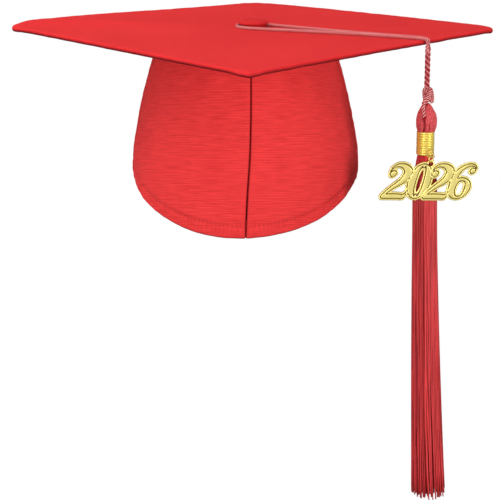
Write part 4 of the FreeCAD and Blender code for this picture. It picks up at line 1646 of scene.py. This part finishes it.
# ---- charm ---------------------------------------------------------------------------------------
@dataclass
class YearCharm:
    """Cast year numerals that overlap in layers, each with a flat rim, a groove and a raised body."""

    palette: Palette
    height: float = 26.0
    step: float = 13.7
    slant: float = 0.27
    cell: float = 0.2
    rim: float = 0.85
    groove: float = 0.45
    lug_r: float = 2.6
    eye_r: float = 1.6
    eye_z: float = 12.95

    def strokes(self, numeral: str) -> list[list[tuple[float, float, float]]]:
        """Centre lines of a numeral's strokes.

        Args:
            numeral: "2", "0" or "6".

        Returns:
            Each stroke's (x, z, half width) points in millimetres from the foot's centre.
        """
        if numeral == "2":
            return [[(-5.0, 18.0, 3.2), (-4.8, 18.3, 3.2)],
                    [(-7.0, 19.4, 1.4), (-6.0, 22.0, 1.7), (-3.0, 23.8, 2.2), (1.0, 23.2, 2.8),
                     (4.2, 20.4, 3.6), (4.6, 17.0, 3.8), (2.2, 13.2, 3.2), (-1.8, 9.8, 2.6),
                     (-5.4, 6.4, 2.3), (-7.6, 3.4, 2.2)],
                    [(-7.4, 2.7, 2.7), (-2.0, 2.9, 2.9), (2.8, 2.8, 2.8), (5.4, 2.7, 2.6), (6.8, 5.0, 1.7),
                     (7.8, 7.2, 1.4)]]
        if numeral == "6":
            return [[(5.4, 20.2, 3.0), (5.5, 20.4, 3.0)],
                    [(7.6, 21.8, 1.4), (5.6, 23.8, 1.8), (2.0, 24.0, 2.1), (-1.8, 21.8, 2.6),
                     (-4.2, 18.0, 3.0), (-5.0, 13.4, 3.3), (-5.0, 8.6, 3.3)]]
        return []

    def ovals(self, numeral: str) -> list[tuple[float, float, float, float, bool]]:
        """Return a numeral's ovals: (x, z, half width, half height, whether it is cut out)."""
        if numeral == "0":
            return [(0.0, 13.0, 8.6, 13.0, False), (0.2, 13.0, 1.3, 7.4, True)]
        if numeral == "6":
            return [(0.0, 8.4, 8.3, 8.4, False), (0.5, 8.2, 1.8, 4.0, True)]
        return []

    def depth_in(self, numeral: str, x: np.ndarray, z: np.ndarray) -> np.ndarray:
        """How far inside a numeral's outline each point is.

        Args:
            numeral: which numeral.
            x: across, from the foot's centre.
            z: up, from the foot.

        Returns:
            Distances, below zero outside.
        """
        inside = np.full(x.shape, -99.0)
        for points in self.strokes(numeral):
            dense = self.dense(points)
            for (ax, az, ar), (bx, bz, br) in zip(dense, dense[1:]):
                dx, dz = bx - ax, bz - az
                t = np.clip(((x - ax) * dx + (z - az) * dz) / max(dx * dx + dz * dz, 1e-9), 0.0, 1.0)
                away = np.hypot(x - ax - t * dx, z - az - t * dz)
                inside = np.maximum(inside, ar + t * (br - ar) - away)
        for cx, cz, half_w, half_h, cut in self.ovals(numeral):
            u, v = (x - cx) / half_w, (z - cz) / half_h
            size = np.hypot(u, v)
            pull = np.hypot(u / half_w, v / half_h)
            oval = np.where(pull > 1e-6, size * (1.0 - size) / np.maximum(pull, 1e-6), min(half_w, half_h))
            inside = np.minimum(inside, -oval) if cut else np.maximum(inside, oval)
        return inside

    def dense(self, points: Sequence[tuple[float, float, float]]) -> list[tuple[float, float, float]]:
        """Return a stroke's points with a smooth curve drawn through them."""
        marks = [[(float(i), p[k]) for i, p in enumerate(points)] for k in range(3)]
        count = 6 * (len(points) - 1)
        return [tuple(smooth_marks(marks[k], (len(points) - 1) * j / count) for k in range(3))
                for j in range(count + 1)]

    def layers(self, x: np.ndarray, z: np.ndarray) -> tuple[np.ndarray, np.ndarray, np.ndarray]:
        """Outline and relief of the whole charm.

        Args:
            x: across, from the charm's middle, in millimetres.
            z: up, from its foot.

        Returns:
            Distance inside the outline, height of the face over the plate, and the groove mask.
        """
        inside = np.full(x.shape, -99.0)
        relief = np.full(x.shape, -9.0)
        hollow = np.zeros(x.shape)
        for k, (numeral, raised) in enumerate((("2", 0.35), ("0", 0.0), ("2", 0.35), ("6", 0.05))):
            local_x = x - (k - 1.5) * self.step - self.slant * z
            depth = self.depth_in(numeral, local_x, z)
            face, dark = self.section(depth)
            wins = (depth > -0.1) & (face + raised > relief)
            relief = np.where(wins, face + raised, relief)
            hollow = np.where(wins, dark, hollow)
            inside = np.maximum(inside, depth)
        for k, numeral in ((1, "0"), (3, "6")):
            local_x = x - (k - 1.5) * self.step - self.slant * z
            for cx, cz, half_w, half_h, cut in self.ovals(numeral):
                if cut:
                    size = np.hypot((local_x - cx) / half_w, (z - cz) / half_h)
                    inside = np.minimum(inside, (size - 1.0) * half_w)
        return inside, relief, hollow

    def section(self, depth: np.ndarray) -> tuple[np.ndarray, np.ndarray]:
        """Return the face's height and the groove mask at a distance in from the outline."""
        def rise(a: float, b: float) -> np.ndarray:
            t = np.clip((depth - a) / (b - a), 0.0, 1.0)
            return t * t * (3 - 2 * t)
        edge = 0.3 * rise(0.0, 0.35)
        down = rise(self.rim, self.rim + 0.2)
        up = rise(self.rim + self.groove, self.rim + self.groove + 0.45)
        dome = 0.16 * np.sqrt(np.clip(depth - self.rim - self.groove, 0.0, 3.0))
        return edge - 0.5 * down + (0.62 + dome) * up, down * (1.0 - up)

    def build(self) -> bpy.types.Object:
        """Make the charm with its lug.

        Returns:
            The charm, fixed to its own body.
        """
        low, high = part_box("year_charm")
        eye_x = sum(corner.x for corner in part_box("jump_ring")) / 2 / MM
        foot_z, middle_x = low.z / MM, (low.x + high.x) / 2 / MM
        offset_x = self.slant * self.height / 2
        wide, tall, below = int(74 / self.cell), int(31.5 / self.cell), 0.6
        bm = bmesh.new()
        bmesh.ops.create_grid(bm, x_segments=wide, y_segments=tall, size=0.5)
        spots = np.array([(v.co.x * wide * self.cell, (v.co.y + 0.5) * tall * self.cell - below)
                          for v in bm.verts])

        def read(points: np.ndarray) -> tuple[np.ndarray, np.ndarray, np.ndarray]:
            x, z = points[:, 0] + offset_x, points[:, 1]
            inside, relief, hollow = self.layers(x, z)
            away = np.hypot(points[:, 0] + middle_x - eye_x, points[:, 1] + foot_z - self.eye_z)
            lug = self.lug_r - away
            on_lug = (lug > inside) & (inside < 0.15)
            relief = np.where(on_lug, -0.25 + 0.25 * np.clip(lug / 0.3, 0, 1), relief)
            hollow = np.where(on_lug, 0.0, hollow)
            return np.minimum(np.maximum(inside, lug), away - self.eye_r), relief, hollow

        inside, _, _ = read(spots)
        nudge = 0.02
        slope_x = (read(spots + (nudge, 0.0))[0] - inside) / nudge
        slope_z = (read(spots + (0.0, nudge))[0] - inside) / nudge
        steep = np.maximum(np.hypot(slope_x, slope_z), 0.3)
        close = np.abs(inside) < self.cell * 0.75
        spots[close, 0] -= (inside * slope_x / steep ** 2)[close]
        spots[close, 1] -= (inside * slope_z / steep ** 2)[close]
        inside, _, hollow = read(spots)
        keep = inside > -0.3 * self.cell
        mask = bm.verts.layers.float.new("hollow")
        for vert, (x, z), dark in zip(bm.verts, spots, hollow):
            vert.co = ((x + middle_x) * MM, 0.0, (z + foot_z) * MM)
            vert[mask] = float(dark)
        bm.verts.index_update()
        outside = [f for f in bm.faces if not all(keep[v.index] for v in f.verts)]
        bmesh.ops.delete(bm, geom=outside, context="FACES")
        bmesh.ops.delete(bm, geom=[v for v in bm.verts if not v.link_faces], context="VERTS")
        bmesh.ops.delete(bm, geom=self.crumbs(bm), context="VERTS")
        front = bm.verts[:]
        _, relief, _ = read(np.array([(v.co.x / MM - middle_x, v.co.z / MM - foot_z) for v in front]))
        middle_y, half = (low.y + high.y) / 2, 0.5 * MM
        grown = bmesh.ops.extrude_face_region(bm, geom=bm.faces[:], use_keep_orig=True)
        for vert, rise in zip(front, relief):
            vert.co.y = middle_y - half - max(float(rise), -0.4) * MM
        for vert in (g for g in grown["geom"] if isinstance(g, bmesh.types.BMVert)):
            vert.co.y = middle_y + half
            vert[mask] = 0.0
        turn_outward(bm)
        piece = make_object("year_numerals", bm, self.palette.charm, Slot.GOLD, smooth=True)
        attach(piece, Body.CHARM.value)
        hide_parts("year_charm")
        return piece

    def crumbs(self, bm: bmesh.types.BMesh) -> list[bmesh.types.BMVert]:
        """Return the vertices of every scrap that isn't part of the charm's largest island."""
        left, islands = set(bm.verts), []
        while left:
            todo = [left.pop()]
            island = list(todo)
            while todo:
                for edge in todo.pop().link_edges:
                    for vert in edge.verts:
                        if vert in left:
                            left.remove(vert)
                            todo.append(vert)
                            island.append(vert)
            islands.append(island)
        largest = max(islands, key=len)
        return [v for island in islands if island is not largest for v in island]


# ---- stage ---------------------------------------------------------------------------------------
@dataclass
class Studio:
    """Pale sweep, soft lights and the camera."""

    camera_at: Vector = field(default_factory=lambda: Vector((16.2, -1000.0, 235.0)) * MM)
    yaw: float = math.radians(1.056)
    pitch: float = math.radians(13.26)
    focal: float = 105.06
    rise: float = -0.18

    def camera(self) -> None:
        """Place the camera and make it the scene's own."""
        data = bpy.data.cameras.new("camera")
        data.lens, data.sensor_width, data.shift_y = self.focal, 36.0, self.rise
        data.clip_start, data.clip_end = 0.05, 50.0
        carrier = bpy.data.objects.new("camera", data)
        level = math.cos(self.pitch)
        forward = Vector((-math.sin(self.yaw) * level, math.cos(self.yaw) * level, -math.sin(self.pitch)))
        carrier.location = self.camera_at
        carrier.rotation_euler = forward.to_track_quat("-Z", "Y").to_euler()
        bpy.context.scene.collection.objects.link(carrier)
        bpy.context.scene.camera = carrier

    def sweep(self) -> None:
        """Make the floor that curves up into the backdrop."""
        ground = CAD_BOX[0][2] - 20.0 * MM
        bm = bmesh.new()
        bend, wall, wide = 1.2, 3.5, 8.0
        outline = [(-3.0, ground), (wall - bend, ground)]
        outline += [(wall - bend + bend * math.sin(t), ground + bend * (1 - math.cos(t)))
                    for t in (math.pi / 2 * k / 16 for k in range(1, 17))]
        outline.append((wall, 5.0))
        verts = [bm.verts.new((-wide / 2, y, z)) for y, z in outline]
        edges = [bm.edges.new(pair) for pair in zip(verts, verts[1:])]
        grown = bmesh.ops.extrude_edge_only(bm, edges=edges)
        bmesh.ops.translate(bm, vec=(wide, 0, 0),
                            verts=[g for g in grown["geom"] if isinstance(g, bmesh.types.BMVert)])
        turn_outward(bm)
        mesh = bpy.data.meshes.new("floor")
        for face in bm.faces:
            face.smooth = True
        bm.to_mesh(mesh)
        bm.free()
        material, g = new_material("pale_paper")
        paper = g.add("ShaderNodeBsdfDiffuse", {"Color": (0.28, 0.28, 0.28, 1.0)})
        glow = g.add("ShaderNodeEmission", {"Color": (1.0, 1.0, 1.0, 1.0), "Strength": 1.0})
        seen = g.add("ShaderNodeLightPath")
        close_material(g, g.add("ShaderNodeMixShader", {0: seen.outputs["Is Camera Ray"], 1: paper.outputs[0],
                                                        2: glow.outputs[0]}))
        mesh.materials.append(material)
        floor = bpy.data.objects.new("floor", mesh)
        bpy.context.scene.collection.objects.link(floor)

    def lamp(self, name: str, place: Vector, power: float, size: float) -> None:
        """Add a soft square lamp that faces the cap.

        Args:
            name: its name.
            place: where it stands.
            power: in watts.
            size: the side of its square.
        """
        data = bpy.data.lights.new(name, "AREA")
        data.energy, data.size = power, size
        carrier = bpy.data.objects.new(name, data)
        carrier.location = place
        carrier.rotation_euler = (Vector((0.03, 0, 0.0)) - place).to_track_quat("-Z", "Y").to_euler()
        carrier.visible_camera = False
        bpy.context.scene.collection.objects.link(carrier)

    def surroundings(self) -> None:
        """Fill the room with soft white light, dimmer on the right, for the metal to mirror."""
        world = bpy.data.worlds.new("studio")
        world.use_nodes = True
        g = Graph(world.node_tree)
        place = g.add("ShaderNodeTexCoord")
        axes = g.add("ShaderNodeSeparateXYZ", {0: place.outputs["Generated"]})
        side = g.add("ShaderNodeMapRange", {"Value": axes.outputs[0], "From Min": -0.9, "From Max": 0.9,
                                            "To Min": 0.95, "To Max": 0.40})
        over = g.add("ShaderNodeMapRange", {"Value": axes.outputs[2], "From Min": -0.4, "From Max": 0.9,
                                            "To Min": 0.62, "To Max": 1.0})
        level = g.math("MULTIPLY", side.outputs[0], over.outputs[0])
        back = g.add("ShaderNodeBackground", {"Color": (1.0, 1.0, 1.0, 1.0), "Strength": level})
        g.add("ShaderNodeOutputWorld", {"Surface": back.outputs[0]})
        bpy.context.scene.world = world

    def build(self) -> None:
        """Set up the whole studio."""
        bpy.context.scene.view_settings.view_transform = "Standard"
        self.camera()
        self.sweep()
        self.surroundings()
        self.lamp("key", Vector((-0.8, -1.7, 0.25)), 17.0, 0.8)
        self.lamp("fill", Vector((1.6, -1.2, 0.15)), 22.0, 0.7)
        self.lamp("top", Vector((-0.55, -0.1, 1.2)), 12.0, 0.9)


def dress_cad_nodes(palette: Palette) -> None:
    """Give the CAD nodes that stay their own finishes.

    Args:
        palette: every finish.
    """
    finishes = {"button_shell": palette.steel, "button_shank": palette.steel,
                "button_washer": palette.steel, "tassel_band": palette.binding, "tassel_bail": palette.gold,
                "jump_ring": palette.gold}
    for name, material in finishes.items():
        node = bpy.data.objects[name]
        node.data.materials.clear()
        node.data.materials.append(material)
        LOG.info("%s: finished", name)


def main() -> None:
    """Build the cap and its studio."""
    logging.basicConfig(level=logging.INFO, format="%(name)s %(message)s")
    Studio().build()
    palette = Palette(Effects())
    board = MortarBoard(palette)
    board.build()
    Crown(palette, board).build()
    Button(palette).build()
    cord = Cord(palette, board)
    hung = Tassel(palette, cord.axis).build()
    cord.build(hung)
    YearCharm(palette).build()
    dress_cad_nodes(palette)


if __name__ == "__main__":
    main()
